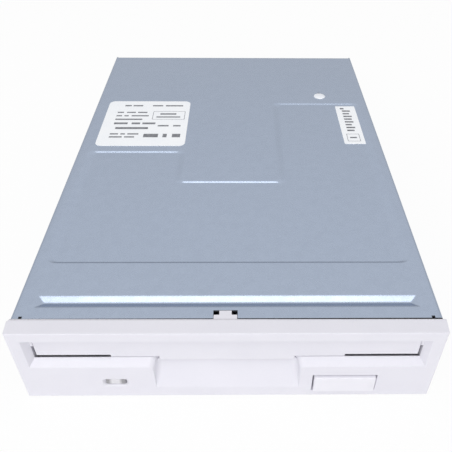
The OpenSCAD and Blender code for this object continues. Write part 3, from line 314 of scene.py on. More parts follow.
def soften(name, node, material, width, steps=2, reach=35, wider=(), only=None, weld=0.015, slot=None):
    """A copy of a CAD node with its edges rounded, in the node's place. Edges picked by a test
    in wider are rounded first, each set by its own width, and then those that only picks.
    Points closer than weld are made one, and from further off where a face is folded back.
    The slot is not used."""
    folded_back, crisp, coplanar = 3.0, 0.3, math.radians(0.6)

    def ends(edge):
        return [v.co * 1000 + Vector((0, face_y, 0)) for v in edge.verts]

    source = frame["nodes"][node]
    shape = bmesh.new()
    shape.from_mesh(source.data)
    bmesh.ops.remove_doubles(shape, verts=shape.verts, dist=weld / 1000)
    folded = [v for v in shape.verts if any(e.calc_face_angle(0) > folded_back for e in v.link_edges)]
    bmesh.ops.remove_doubles(shape, verts=folded, dist=4 * weld / 1000)
    bmesh.ops.dissolve_degenerate(shape, dist=1e-6, edges=shape.edges)
    bmesh.ops.dissolve_limit(shape, angle_limit=coplanar, verts=shape.verts, edges=shape.edges)
    for picked, broad in wider:
        along = [e for e in shape.edges if picked(*ends(e)) and e.calc_face_angle(0) > crisp]
        bmesh.ops.bevel(shape, geom=along, offset=broad / 1000, segments=5, profile=0.5, affect="EDGES",
                        clamp_overlap=False)
    if only:
        weight = shape.edges.layers.float.new("bevel_weight_edge")
        for edge in [e for e in shape.edges if e.calc_face_angle(0) > math.radians(reach)]:
            edge[weight] = float(only(*ends(edge)))
            edge.smooth = edge[weight] > 0
    for face in shape.faces:
        face.smooth = True
        face.material_index = 0
    piece = linked(name, meshed(name, shape, material))
    edges = piece.modifiers.new("edges", "BEVEL")
    edges.width, edges.segments = width / 1000, steps
    edges.limit_method, edges.angle_limit = "WEIGHT" if only else "ANGLE", math.radians(reach)
    edges.use_clamp_overlap = not only
    piece = settle(piece)
    lead_normals(piece.data)
    return seat(piece, source["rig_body"], slot or material.name.partition(".")[0], node)


cast_metal = finish(
    "cast_aluminium", Colour=(196, 198, 200), Shade=(164, 167, 170), Amount=0.6,
    Grain=0.35, Blotch=14, Rough=0.44, Spread=0.16, Metallic=1.0, bump=0.25)
soften("tray_casting", "chassis", cast_metal, 0.22)


# Spindle motor board: a thin green circuit board under the tray, held by four screws, with the
# motor's driver chips and small parts soldered to its underside.
tree, place, take = pattern(
    "board_tracks", Mask=(0.02, 0.15, 0.06, 1), Track=(0.04, 0.24, 0.09, 1), Pad=(0.6, 0.58, 0.52, 1),
    Pitch=1.27, Rough=0.35)
step = calc(tree, "DIVIDE", 1000, take["Pitch"])
runs = put(tree, "ShaderNodeTexBrick", {
    "Vector": place, "Scale": step, "Mortar Size": 0.16, "Mortar Smooth": 0.1, "Brick Width": 7.3,
    "Row Height": 1.0}, offset=0.37, squash=0.7, squash_frequency=3).outputs["Fac"]
cells = put(tree, "ShaderNodeTexVoronoi", {
    "Vector": place, "Scale": calc(tree, "MULTIPLY", step, 0.21), "Randomness": 0.85}).outputs["Distance"]
pads = calc(tree, "LESS_THAN", cells, 0.085)
tone = mix(tree, runs, take["Mask"], take["Track"])
haze = calc(tree, "MULTIPLY", noise(tree, place, 120.0), 0.25)
tone = mix(tree, haze, tone, take["Mask"])
board_tracks = close_pattern(
    tree, mix(tree, pads, tone, take["Pad"]),
    calc(tree, "MULTIPLY_ADD", haze, 0.5, take["Rough"]), calc(tree, "MAXIMUM", runs, pads))

board_green = finish("board", board_tracks, Pitch=1.1, bump=0.35, depth=0.05, Coat_Weight=0.3)
chip_black = finish(
    "black_plastic", Colour=(43, 44, 47), Shade=(58, 59, 62), Amount=0.8, Grain=0.12,
    Blotch=4, Rough=0.55, Spread=0.2, bump=0.3, depth=0.01)
tree, place, take = pattern(
    "drawn_streaks", Colour=(0.6, 0.6, 0.6, 1), Shade=(0.4, 0.4, 0.4, 1), Amount=0.5, Long=12.0,
    Fine=0.25, Turn=0.0, Rough=0.35, Spread=0.15)
turned = put(tree, "ShaderNodeVectorRotate", {"Vector": place, "Angle": take["Turn"]},
             rotation_type="Z_AXIS")
across = calc(tree, "DIVIDE", 1000, take["Fine"])
stretch = put(tree, "ShaderNodeCombineXYZ", {
    0: across, 1: calc(tree, "DIVIDE", 1000, take["Long"]), 2: across})
drawn = put(tree, "ShaderNodeVectorMath", {0: turned.outputs[0], 1: stretch.outputs[0]},
            operation="MULTIPLY")
streak = noise(tree, drawn.outputs[0], 1.0, 3.0)
cloud = noise(tree, place, 90.0, 2.0)
both = calc(tree, "MULTIPLY_ADD", streak, 0.6, calc(tree, "MULTIPLY", cloud, 0.4))
share = calc(tree, "MULTIPLY", ramp(tree, both, 0.34, 0.66), take["Amount"])
drawn_streaks = close_pattern(
    tree, mix(tree, share, take["Colour"], take["Shade"]),
    calc(tree, "MULTIPLY_ADD", calc(tree, "SUBTRACT", both, 0.5), take["Spread"], take["Rough"]),
    streak)
tin_bright = finish(
    "tinned_leads", drawn_streaks, Colour=(206, 208, 210), Shade=(176, 178, 180), Long=1.5, Fine=0.12,
    Rough=0.3, Metallic=1.0)


def dress(node, material):
    """Gives a CAD node that stays in view its finish."""
    for held in frame["nodes"][node].material_slots:
        held.link = "OBJECT"
        held.material = material


def islands(node):
    """The boxes of a node's separate solids, in mm with Y from the panel face."""
    shape = bmesh.new()
    shape.from_mesh(frame["nodes"][node].data)
    bmesh.ops.remove_doubles(shape, verts=shape.verts, dist=2e-6)
    left, boxes = set(shape.verts), []
    while left:
        grow, found = [left.pop()], []
        while grow:
            corner = grow.pop()
            found.append(corner.co.copy())
            for edge in corner.link_edges:
                other = edge.other_vert(corner)
                if other in left:
                    left.remove(other)
                    grow.append(other)
        spots = np.array(found) * 1000 + (0, face_y, 0)
        boxes.append((spots.min(0), spots.max(0)))
    shape.free()
    return sorted(boxes, key=lambda b: tuple(np.round(b[0], 3)))


def skin(name, rings, smooth=False):
    """A closed mesh over a row of rings of points, given in mm."""
    shape = bmesh.new()
    rows = [[shape.verts.new(at(*p)) for p in ring] for ring in rings]
    count = len(rows[0])
    for low, high in zip(rows, rows[1:]):
        for i in range(count):
            j = (i + 1) % count
            shape.faces.new((low[i], low[j], high[j], high[i]))
    shape.faces.new(rows[0][::-1])
    shape.faces.new(rows[-1])
    bmesh.ops.remove_doubles(shape, verts=shape.verts, dist=3e-6)
    bmesh.ops.recalc_face_normals(shape, faces=shape.faces)
    for face in shape.faces:
        face.smooth = smooth
    return meshed(name, shape)


def join_meshes(name, meshes, material):
    """One object from several meshes."""
    shape = bmesh.new()
    for mesh in meshes:
        shape.from_mesh(mesh)
    return linked(name, meshed(name, shape, material))


def box_rings(low, high, trim):
    """Rings of a block with its upright and level edges cut back by trim."""
    (x0, y0, z0), (x1, y1, z1) = low, high

    def ring(z, t):
        c = t + trim
        return [(x0 + c, y0 + t, z), (x1 - c, y0 + t, z), (x1 - t, y0 + c, z), (x1 - t, y1 - c, z),
                (x1 - c, y1 - t, z), (x0 + c, y1 - t, z), (x0 + t, y1 - c, z), (x0 + t, y0 + c, z)]

    return [ring(z0, trim), ring(z0 + trim, 0), ring(z1 - trim, 0), ring(z1, trim)]


def geometry_tree(name, **kinds):
    """An empty geometry tree with named inputs, and those inputs."""
    tree = bpy.data.node_groups.new(name, "GeometryNodeTree")
    for label, kind in (kinds | {"Finish": "Material"}).items():
        tree.interface.new_socket(label, in_out="INPUT", socket_type="NodeSocket" + kind)
    tree.interface.new_socket("Made", in_out="OUTPUT", socket_type="NodeSocketGeometry")
    return tree, put(tree, "NodeGroupInput").outputs


def close_geometry(tree, geometry, material):
    """Ends a geometry tree with its finish."""
    real = put(tree, "GeometryNodeRealizeInstances", {0: geometry}).outputs[0]
    finished = put(tree, "GeometryNodeSetMaterial", {"Geometry": real, "Material": material})
    put(tree, "NodeGroupOutput", {0: finished.outputs[0]})
    return tree


# a shape set out on points; each point carries its own turn
tree, take = geometry_tree("set_out", Points="Geometry", Shape="Object")
shape_in = put(tree, "GeometryNodeObjectInfo", {"Object": take["Shape"]}).outputs["Geometry"]
turn_in = put(tree, "GeometryNodeInputNamedAttribute", {"Name": "turn"}, data_type="FLOAT_VECTOR")
turned = put(tree, "FunctionNodeEulerToRotation", {0: turn_in.outputs[0]}).outputs[0]
spread = put(tree, "GeometryNodeInstanceOnPoints", {
    "Points": take["Points"], "Instance": shape_in, "Rotation": turned})
set_out = close_geometry(tree, spread.outputs[0], take["Finish"])


def run_tree(name, mesh, tree, **inputs):
    """Runs a geometry tree on a mesh and keeps what comes out as a plain mesh."""
    carrier = linked(name, mesh)
    work = carrier.modifiers.new(tree.name, "NODES")
    work.node_group = tree
    for socket in tree.interface.items_tree:
        if socket.in_out == "INPUT" and socket.name in inputs:
            work[socket.identifier] = inputs[socket.name]
    return settle(carrier)


def repeat(name, mesh, spots, material):
    """One mesh made about the origin, set out at (x, y, z, turn about z, roll about y)."""
    points = bpy.data.meshes.new(name + "_points")
    points.from_pydata([at(*s[:3]) for s in spots], [], [])
    turn = points.attributes.new("turn", "FLOAT_VECTOR", "POINT")
    for held, s in zip(turn.data, spots):
        held.vector = (0, s[4] if len(s) > 4 else 0, s[3] if len(s) > 3 else 0)
    shape = linked(name + "_shape", mesh)
    made = run_tree(name, points, set_out, Shape=shape, Finish=material)
    bpy.data.objects.remove(shape)
    return made


def about(rings):
    """Rings made about the origin: undoes the shift that at() gives."""
    return [[(x, y + face_y, z) for x, y, z in ring] for ring in rings]


def turned_rings(profile, sides):
    """Rings round the z axis from (radius, height) pairs."""
    angles = [2 * math.pi * i / sides for i in range(sides)]
    return about([[(r * math.cos(a), r * math.sin(a), z) for a in angles] for r, z in profile])


# gull-wing lead that leaves a chip's side and lands on the underside of the board
lead_path = [(-0.05, -0.5), (0.3, -0.5), (0.42, -0.44), (0.56, -0.14), (0.68, -0.07), (1.1, -0.07)]
half, thin = 0.16, 0.06
lead_mesh = skin("chip_lead", about([
    [(u, -half, z - thin), (u, half, z - thin), (u, half, z + thin), (u, -half, z + thin)]
    for u, z in lead_path]))


def lead_spots(low, high, pitch, ends):
    """Places for leads along the sides, and the ends too if asked, of a chip under a board."""
    (x0, y0, _), (x1, y1, top) = low, high

    def spaced(start, end):
        count = int((end - start - 1.0) / pitch) + 1
        return [(start + end - (count - 1) * pitch) / 2 + i * pitch for i in range(count)]

    spots = [spot for y in spaced(y0, y1) for spot in ((x1, y, top, 0), (x0, y, top, math.pi))]
    if ends:
        quarter = math.pi / 2
        spots += [spot for x in spaced(x0, x1)
                  for spot in ((x, y1, top, quarter), (x, y0, top, -quarter))]
    return spots


def board_parts(name, node, board_z, four_sided):
    """Chips with leads, chip resistors with tinned ends, under a board."""
    chip_least, chip_most, resistor_most, end_long = 4.4, 15, 4, 0.55
    fine_pitch_from, four_sided_from = 8, 13
    bodies, ends, leads = [], [], []
    for low, high in islands(node):
        if low[2] > board_z:
            continue
        wide, deep = high[0] - low[0], high[1] - low[1]
        if min(wide, deep) > chip_least and max(wide, deep) < chip_most:
            bodies.append(skin("chip", box_rings(low, high, 0.14)))
            pitch = 1.0 if wide > fine_pitch_from else 1.27
            leads += lead_spots(low, high, pitch, wide > four_sided_from and four_sided)
        elif max(wide, deep) < resistor_most:
            bodies.append(skin("resistor", box_rings(low, high, 0.05)))
            axis = 0 if wide > deep else 1
            for end in (0, 1):
                cap = [np.array(low) - 0.03, np.array(high) + 0.03]
                cap[0][2], cap[1][2] = low[2] - 0.02, high[2] - 0.001
                if end:
                    cap[0][axis] = high[axis] - end_long
                else:
                    cap[1][axis] = low[axis] + end_long
                ends.append(skin("cap", box_rings(*cap, 0.05)))
        else:
            bodies.append(skin("socket", box_rings(low, high, 0.2)))
    seat(join_meshes(name, bodies, chip_black), "frame", "black_plastic", node)
    seat(join_meshes(name + "_ends", ends, tin_bright), "frame", "bright_steel")
    seat(repeat(name + "_leads", lead_mesh, leads, tin_bright), "frame", "bright_steel")


motor_board_z, main_board_z = 1.6, 1.1  # undersides of the boards
dress("motor_board", board_green)
board_parts("motor_board_chips", "motor_board_parts", motor_board_z, False)


# Screws: small pan-head machine screws of zinc-plated steel with a cross recess. Four hold the
# motor board, four the main board, and two the stepper's bracket from above.
zinc_screw = finish(
    "screw_zinc", Colour=(198, 198, 192), Shade=(168, 167, 158), Amount=0.7, Grain=0.2,
    Blotch=2, Rough=0.32, Spread=0.2, Metallic=1.0, bump=0.15)


def screw_mesh(head, length):
    """A screw about the origin, its head's underside at z 0 and its shank going up."""
    pitch, crest, root = 0.4, 0.92, 0.78
    profile = [(0.001, -head), (0.95, -head), (1.45, -head * 0.86), (1.75, -head * 0.55),
               (1.88, -head * 0.2), (1.88, 0), (crest, 0)]
    for i in range(int(length / pitch)):
        profile += [(crest, pitch * i + 0.08), (root, pitch * i + 0.28)]
    profile += [(0.9, length - 0.1), (0.6, length), (0.001, length)]
    body = linked("screw", skin("screw", turned_rings(profile, 20)))
    for wide, thin in ((0.24, 1.15), (1.15, 0.24)):
        slot = skin("recess", about([
            [(-wide * s, -thin * s, z), (wide * s, -thin * s, z),
             (wide * s, thin * s, z), (-wide * s, thin * s, z)]
            for z, s in ((-head - 0.2, 1.0), (-head + 0.45, 0.7))]))
        tool = linked("recess", slot)
        cut = body.modifiers.new("recess", "BOOLEAN")
        cut.operation, cut.object, cut.solver = "DIFFERENCE", tool, "EXACT"
        body = settle(body)
        bpy.data.objects.remove(tool)
    mesh = body.data
    bpy.data.objects.remove(body)
    return mesh


bracket_top = 4.8
for node, head, length, spots in (
        ("motor_board", 0.8, 2.35, [(-31, 84, motor_board_z, 0.3), (31, 84, motor_board_z, 1.1),
                                    (-33, 27, motor_board_z, 0.7), (33, 27, motor_board_z, 0.1)]),
        ("main_board", 0.8, 2.85, [(-46.4, 134, main_board_z, 0.5), (46.4, 134, main_board_z, 0.2),
                                   (-36, 102, main_board_z, 0.9), (36, 102, main_board_z, 1.3)]),
        ("stepper", 0.9, 2.15, [(-23, 85, bracket_top, 0.4, math.pi),
                                (-23, 104, bracket_top, 1.0, math.pi)])):
    screws = repeat(node + "_screw_set", screw_mesh(head, length), spots, zinc_screw)
    seat(screws, "frame", "zinc_steel", node + "_screws")


# Motor flat cable: a flat film cable from the motor board's socket to the main board, with
# bare tinned conductors laid side by side in a cream film.
tree, place, take = pattern(
    "film_stripes", Film=(0.6, 0.58, 0.5, 1), Line=(0.5, 0.4, 0.25, 1), Pitch=1.0, Share=0.6, Rough=0.4)
split = put(tree, "ShaderNodeSeparateXYZ", {0: place}).outputs[0]
wave = calc(tree, "PINGPONG", split, calc(tree, "DIVIDE", take["Pitch"], 2000))
wave = calc(tree, "MULTIPLY", wave, calc(tree, "DIVIDE", 2000, take["Pitch"]))
line = calc(tree, "LESS_THAN", wave, take["Share"])
haze = noise(tree, place, 260.0, 3.0)
film = mix(tree, line, take["Film"], take["Line"])
film_stripes = close_pattern(
    tree, mix(tree, calc(tree, "MULTIPLY", haze, 0.22), film, (0.25, 0.2, 0.14, 1)),
    calc(tree, "MULTIPLY_ADD", haze, 0.2, take["Rough"]), line)
cream_film = finish(
    "flat_cable", film_stripes, Film=(222, 217, 200), Line=(176, 172, 160), Pitch=1.0, Share=0.55,
    Rough=0.35, bump=0.5, depth=0.08, Coat_Weight=0.2)


def smooth_path(points, steps):
    """Points on a soft curve through the given ones."""
    spots = [Vector(p) for p in points]
    spots = [2 * spots[0] - spots[1]] + spots + [2 * spots[-1] - spots[-2]]
    path = []
    for a, b, c, d in zip(spots, spots[1:], spots[2:], spots[3:]):
        for i in range(steps):
            t = i / steps
            path.append(0.5 * (2 * b + (c - a) * t + (2 * a - 5 * b + 4 * c - d) * t * t
                               + (3 * b - a - 3 * c + d) * t ** 3))
    return path + [spots[-2]]


def strip(name, path, thick, x0, x1, material):
    """A film of even thickness that follows a path of (y, z) across x0 to x1."""
    rings = []
    for i, (y, z) in enumerate(path):
        (ya, za), (yb, zb) = path[max(i - 1, 0)], path[min(i + 1, len(path) - 1)]
        length = math.hypot(yb - ya, zb - za)
        ny, nz = -(zb - za) / length * thick / 2, (yb - ya) / length * thick / 2
        rings.append([(x0, y - ny, z - nz), (x1, y - ny, z - nz),
                      (x1, y + ny, z + nz), (x0, y + ny, z + nz)])
    piece = join_meshes(name, [skin(name, rings)], material)
    for face in piece.data.polygons:
        face.use_smooth = abs(face.normal.x) < 0.5
    return piece


cable_path = [(p.y, p.z) for p in smooth_path(
    [(0, 86.6, 1.03), (0, 88.8, 1.03), (0, 92.5, 1.0), (0, 97, 0.98), (0, 101, 0.98)], 6)]
motor_cable = strip("motor_film_cable", cable_path, 0.22, -4, 8, cream_film)
seat(motor_cable, "frame", "flat_cable", "motor_flat_cable")


# Spindle motor: a sintered bronze bearing with a stack of twelve wound poles round it, and over
# them a pressed steel cup with a ring magnet. The turned hub with its chucking magnet and sprung
# drive pin sits on the cup and takes the disk.
bronze = finish(
    "bronze", Colour=(188, 150, 96), Shade=(140, 106, 64), Amount=0.8, Grain=0.18,
    Blotch=3, Rough=0.42, Spread=0.2, Metallic=1.0, bump=0.35)
iron_stack = finish(
    "lamination", drawn_streaks, Colour=(136, 139, 144), Shade=(92, 94, 98), Long=30, Fine=0.3,
    Rough=0.42, Turn=0.4, Metallic=1.0, bump=0.4)
copper_wire = finish(
    "copper", drawn_streaks, Colour=(196, 112, 62), Shade=(150, 74, 36), Long=2, Fine=0.2, Rough=0.28,
    Metallic=1.0, Coat_Weight=0.4)
zinc_sheet = finish(
    "zinc_steel", drawn_streaks, Colour=(188, 192, 197), Shade=(158, 162, 168), Amount=0.6, Long=25,
    Fine=0.4, Rough=0.34, Spread=0.2, Metallic=1.0, bump=0.12)
ground_steel = finish(
    "bright_steel", drawn_streaks, Colour=(214, 216, 219), Shade=(190, 192, 196), Amount=0.6, Long=18,
    Fine=0.1, Rough=0.18, Spread=0.16, Metallic=1.0)
ferrite = finish(
    "magnet", Colour=(62, 62, 66), Shade=(82, 81, 80), Amount=0.8, Grain=0.15, Blotch=2,
    Rough=0.6, Spread=0.2, bump=0.3)
dress("motor_bearing", bronze)
dress("stator_core", iron_stack)
dress("rotor_magnet", ferrite)
dress("chuck_magnet", ferrite)
dress("drive_pin", ground_steel)
soften("rotor_cup_pressing", "rotor_cup", zinc_sheet, 0.3, 3)
soften("spindle_hub_turning", "spindle_hub", ground_steel, 0.15)
soften("spindle_shaft_turning", "spindle_shaft", ground_steel, 0.12)

# round wire that follows a path
tree, take = geometry_tree("wire_on_path", Path="Geometry", Radius="Float", Sides="Int")
path_in = put(tree, "GeometryNodeMeshToCurve", {0: take["Path"]}).outputs[0]
gauge = put(tree, "GeometryNodeCurvePrimitiveCircle", {
    "Resolution": take["Sides"], "Radius": take["Radius"]}).outputs[0]
drawn = put(tree, "GeometryNodeCurveToMesh", {
    "Curve": path_in, "Profile Curve": gauge, "Fill Caps": True})
round_wire = put(tree, "GeometryNodeSetShadeSmooth", {0: drawn.outputs[0], "Shade Smooth": True})
wire_tree = close_geometry(tree, round_wire.outputs[0], take["Finish"])


def wire(name, paths, radius, sides, material):
    """Wire of one gauge along one or more paths of points in mm."""
    spots, links = [], []
    for path in paths:
        links += [(len(spots) + i, len(spots) + i + 1) for i in range(len(path) - 1)]
        spots += [at(*p) for p in path]
    mesh = bpy.data.meshes.new(name)
    mesh.from_pydata(spots, links, [])
    return run_tree(name, mesh, wire_tree, Radius=radius / 1000, Sides=sides, Finish=material)


# each pole's coil: a layer of turns round the tooth, from the ring out to the pole shoe
poles, turns, steps, spindle_y = 12, 13, 16, 55


def squared(t):
    """A round turn pressed flat on its four sides."""
    return max(-1, min(1, 1.35 * t))


coils = []
for pole in range(poles):
    a, loop = math.radians(360 / poles * (pole + 0.5)), []
    for i in range(turns * steps + 1):
        b = 2 * math.pi * i / steps
        reach = 10.72 + 7.56 * i / (turns * steps)
        side = 1.56 * squared(math.cos(b))
        rise = 4.4 + 1.26 * squared(math.sin(b))
        loop.append((reach * math.cos(a) - side * math.sin(a),
                     spindle_y + reach * math.sin(a) + side * math.cos(a), rise))
    coils.append(loop)
seat(wire("stator_winding", coils, 0.3, 6, copper_wire), "frame", "copper", "stator_coils")


# Stepper motor: a round steel can with two wound bobbins and a magnet rotor whose shaft carries
# the cut lead screw. A bent steel bracket holds it, and a ground rod beside it guides the heads.
soften("stepper_can", "stepper_case", zinc_sheet, 0.27, 3)
soften("stepper_bracket_bend", "stepper_bracket", zinc_sheet, 0.12)
dress("stepper_rotor", ferrite)
dress("lead_screw", ground_steel)
soften("guide_rod_ground", "guide_rod", ground_steel, 0.2)
axis_x, axis_z, bobbin_long = -18, 8.2, 5.9
step_angle, last_step = 0.2618, 24 * 14
layers = [[(axis_x + radius * math.cos(step_angle * i), start + 0.25 + bobbin_long * i / last_step,
            axis_z + radius * math.sin(step_angle * i)) for i in range(last_step + 1)]
          for start in (113.6, 120.4) for radius in (6.6, 5.9, 5.2)]
seat(wire("stepper_winding", layers, 0.21, 5, copper_wire), "frame", "copper", "stepper_coils")


# Head carriage: a glass-filled moulding on the guide rod with a needle in the lead screw's
# groove. It carries the lower head, and a hinged arm with the upper one under a leaf spring.
pale_moulding = finish(
    "grey_plastic", Colour=(198, 197, 190), Shade=(176, 174, 166), Amount=0.7, Grain=0.2,
    Blotch=6, Rough=0.5, Spread=0.15, bump=0.25)
ceramic = finish(
    "head_ceramic", Colour=(116, 110, 102), Shade=(86, 82, 76), Amount=0.6, Grain=0.3,
    Blotch=1.5, Rough=0.22, Spread=0.1, Coat_Weight=0.2)
spring_steel = finish(
    "spring_steel", drawn_streaks, Colour=(170, 172, 176), Shade=(128, 130, 134), Long=3, Fine=0.1,
    Rough=0.24, Metallic=1.0)
soften("carriage_moulding", "head_carriage", pale_moulding, 0.18)
soften("upper_arm_moulding", "upper_arm", pale_moulding, 0.15)
soften("lower_head_slider", "lower_head", ceramic, 0.2, 3)
soften("upper_head_slider", "upper_head", ceramic, 0.2, 3)
soften("needle_ground", "needle", ground_steel, 0.08)
dress("arm_pin", ground_steel)

arm_turn, arm_pin_y, arm_pin_z = math.radians(-11.3), 117.5, 17


def lifted(y, z):
    """A point of the level arm, from its pin, with the arm lifted."""
    return (arm_pin_y + y * math.cos(arm_turn) - z * math.sin(arm_turn),
            arm_pin_z + y * math.sin(arm_turn) + z * math.cos(arm_turn))


def bridge(piece, slot, node, *span):
    """Puts a piece in place of a CAD node, with its place baked into its mesh."""
    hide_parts(node)
    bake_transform(piece)


leaf_path = [lifted(-8.75, 1.4), lifted(-8.6, 1.62), lifted(-8.2, 1.78), lifted(-6, 1.82),
             lifted(-2, 1.8), lifted(1.2, 1.8), (119.6, 18.06), (120.0, 17.8), (120.1, 17.2),
             (120.1, 14.85)]
leaf_path = [(p.y, p.z) for p in smooth_path([(0, *p) for p in leaf_path], 4)]
leaf = strip("arm_leaf_spring", leaf_path, 0.2, -3, 3, spring_steel)
bridge(leaf, "spring_steel", "arm_spring", "carriage", "arm", at(0, 119.6, 18), at(0, 109.2, 20.2))

# head ribbon: an amber film from the carriage, looped down to its socket on the main board
amber_film = finish(
    "flex_film", film_stripes, Film=(186, 128, 52), Line=(150, 92, 40), Pitch=0.8, Share=0.55, Rough=0.28,
    bump=0.4, depth=0.06, Coat_Weight=0.35)
loop_y, loop_z, loop_r = 136.5, 6.1, 2.2
ribbon_path = [(120.5 + 2 * i, 8.3) for i in range(8)]
ribbon_path += [(loop_y + loop_r * math.sin(a), loop_z + loop_r * math.cos(a))
                for a in (math.pi * i / 16 for i in range(17))]
ribbon_path += [(135 - 1.5 * i, 3.9) for i in range(3)]
ribbon = strip("head_ribbon", ribbon_path, 0.18, -7.3, -1.7, amber_film)
bridge(ribbon, "flex_film", "head_flex_cable", "carriage", "frame", at(0, 121, 8.3), at(0, 136, 8.3))
cream_plastic = finish(
    "white_plastic", Colour=(232, 229, 219), Shade=(214, 210, 198), Amount=0.6, Grain=0.25,
    Blotch=5, Rough=0.42, Spread=0.12, bump=0.15)
soften("ribbon_socket", "flex_socket", cream_plastic, 0.15)


# Main board: the green circuit board at the rear with the drive's control chips under it and,
# on top, two can capacitors and the shrouds of the data and power connectors.
dress("main_board", board_green)
board_parts("main_board_chips", "main_board_parts", main_board_z, True)
can_sleeve = finish(
    "can_sleeve", Colour=(38, 46, 74), Shade=(52, 62, 92), Amount=0.6, Grain=0.3, Blotch=3,
    Rough=0.3, Spread=0.1, Coat_Weight=0.3)
can_profile = [(0.001, 2.6), (2.2, 2.6), (2.46, 2.75), (2.46, 3.1), (2.3, 3.3), (2.46, 3.5), (2.46, 7.6),
               (2.2, 7.95), (1.9, 8.0), (1.85, 7.9), (0.001, 7.9)]
can_mesh = skin("can", turned_rings(can_profile, 28))
cans = repeat("can_capacitors", can_mesh, [(-27, 136, 0), (-21.8, 136, 0)], can_sleeve)
seat(cans, "frame", "black_plastic")
soften("data_shroud", "data_header", chip_black, 0.15)
soften("power_shroud", "power_header", cream_plastic, 0.18)


# Connector pins: square wire bent down through the board, gold on the data header and tin on
# the power header, each end pointed. Where they come through, they are soldered below.
def pin_mesh(s, back, height, rear, foot):
    """One bent pin about x 0, s its half thickness; back is the leg's y, rear the tip's, and foot
    the leg's lower end."""

    def level_ring(y, k):
        return [(-k, y, height + k), (k, y, height + k), (k, y, height - k), (-k, y, height - k)]

    def upright_ring(z, k):
        return [(-k, back - k, z), (k, back - k, z), (k, back + k, z), (-k, back + k, z)]

    corner = [(-s, back - s, height + s), (s, back - s, height + s), (s, back + s, height - s),
              (-s, back + s, height - s)]
    return skin("pin", [upright_ring(foot, s * 0.5), upright_ring(foot + 0.3, s), corner,
                        level_ring(rear - 0.6, s), level_ring(rear, s * 0.45)])


gold = finish(
    "gold_pin", drawn_streaks, Colour=(222, 186, 104), Shade=(186, 146, 70), Long=3, Fine=0.12,
    Rough=0.24, Metallic=1.0)
solder = finish(
    "solder", Colour=(204, 206, 208), Shade=(168, 170, 174), Amount=0.7, Grain=0.25,
    Blotch=1, Rough=0.26, Spread=0.25, Metallic=1.0, bump=0.2)
near_leg, far_leg, foot = 126.7, 124.5, 0.5
pin_x = [22.39 + (i - 8) * 2.54 for i in range(17)]
data_rows = []
for back, height in ((near_leg, 5.5), (far_leg, 8.04)):
    pin = pin_mesh(0.32, back, height, 144.4, foot)
    data_rows.append(repeat("row", pin, [(x, face_y, 0) for x in pin_x], gold))
data_set = join_meshes("data_pin_rows", [row.data for row in data_rows], gold)
for row in data_rows:
    bpy.data.objects.remove(row)
seat(data_set, "frame", "gold_pin", "data_pins")
power_x = [-37.5 + (i - 1.5) * 2.5 for i in range(4)]
pin = pin_mesh(0.5, near_leg, 6.4, 142, foot)
power_row = repeat("power_pin_row", pin, [(x, face_y, 0) for x in power_x], tin_bright)
seat(power_row, "frame", "bright_steel", "power_pins")
joint_profile = [(0.001, -0.62), (0.3, -0.6), (0.42, -0.42), (0.62, -0.16), (0.85, -0.02),
                 (0.85, 0.02), (0.001, 0.02)]
joint_mesh = skin("solder_joint", turned_rings(joint_profile, 12), smooth=True)
joints = [(x, y, main_board_z) for x in pin_x for y in (near_leg, far_leg)]
joints += [(x, near_leg, main_board_z) for x in power_x]
joints += [(x, 136, main_board_z) for x in (-28, -26, -22.8, -20.8)]
seat(repeat("solder_joints", joint_mesh, joints, solder), "frame", "bright_steel")


# Disk lift: a folded sheet-steel cage that holds the disk, on four turned pins. The eject slider,
# a pressed plate with inclined slots, runs under it on headed studs and is pulled by two springs.
soften("disk_lift_folding", "disk_holder", zinc_sheet, 0.14)
soften("eject_slider_pressing", "eject_slider", zinc_sheet, 0.14)
soften("lift_guide_pins", "holder_pins", ground_steel, 0.12)
soften("slider_guide_studs", "slider_studs", ground_steel, 0.15)


def coil_spring(name, node, paths, radius, *span):
    """Round steel wire in place of a spring's node."""
    bridge(wire(name, paths, radius, 8, spring_steel), "spring_steel", node, *span)


spring_x, spring_z, spring_r, hook_x, steps = 42.5, 7.6, 1.4, 0.42, 312
pull_springs = []
for side in (-1, 1):
    x = spring_x * side
    coil = [Vector((x + spring_r * side * math.cos(a), 48.6 + 21.9 * i / steps,
                    spring_z + spring_r * math.sin(a)))
            for i, a in ((i, math.pi * i / 12) for i in range(steps + 1))]
    front_hook = [Vector((x, 47.1, 7.46)), Vector((x + hook_x * side, 47.7, 6.9)), coil[0], coil[3]]
    rear_hook = [coil[-3], coil[-1], Vector((x + hook_x * side, 71.4, 8.3)), Vector((x, 72.3, spring_z))]
    pull_springs.append(smooth_path(front_hook, 5)[:10] + coil + smooth_path(rear_hook, 5)[5:])
coil_spring("return_spring_pair", "return_springs", pull_springs, 0.22, "frame", "slider",
            at(0, 47.5, spring_z), at(0, 71.9, spring_z))


# Shutter lever: a moulded arm that opens the disk's shutter as the disk goes in. It turns on a
# headed pivot and is held by a small coil spring round it.
soften("shutter_lever_moulding", "shutter_lever", cream_plastic, 0.18, weld=0.04)
soften("lever_pivot_turning", "lever_pivot", ground_steel, 0.15)
pivot_x, pivot_y, top, coil_r = 38, 101, 21.649, 2.3
coil = [Vector((pivot_x + coil_r * math.cos(a), pivot_y + coil_r * math.sin(a), top + 0.3 + 1.6 * i / 64))
        for i, a in ((i, math.pi * i / 16) for i in range(65))]
low_leg = [Vector((40.4, 96, top + 0.26)), Vector((40.3, 99, top + 0.28)), coil[0], coil[4]]
high_leg = [coil[-5], coil[-1], Vector((40.3, 103, top + 1.92)), Vector((40.4, 106, top + 1.92))]
path = smooth_path(low_leg, 5)[:10] + coil + smooth_path(high_leg, 5)[6:]
coil_spring("lever_coil_spring", "lever_spring", [path], 0.18, "lever", "frame",
            at(pivot_x, pivot_y, top + 0.35), at(pivot_x, pivot_y, top + 1.85))


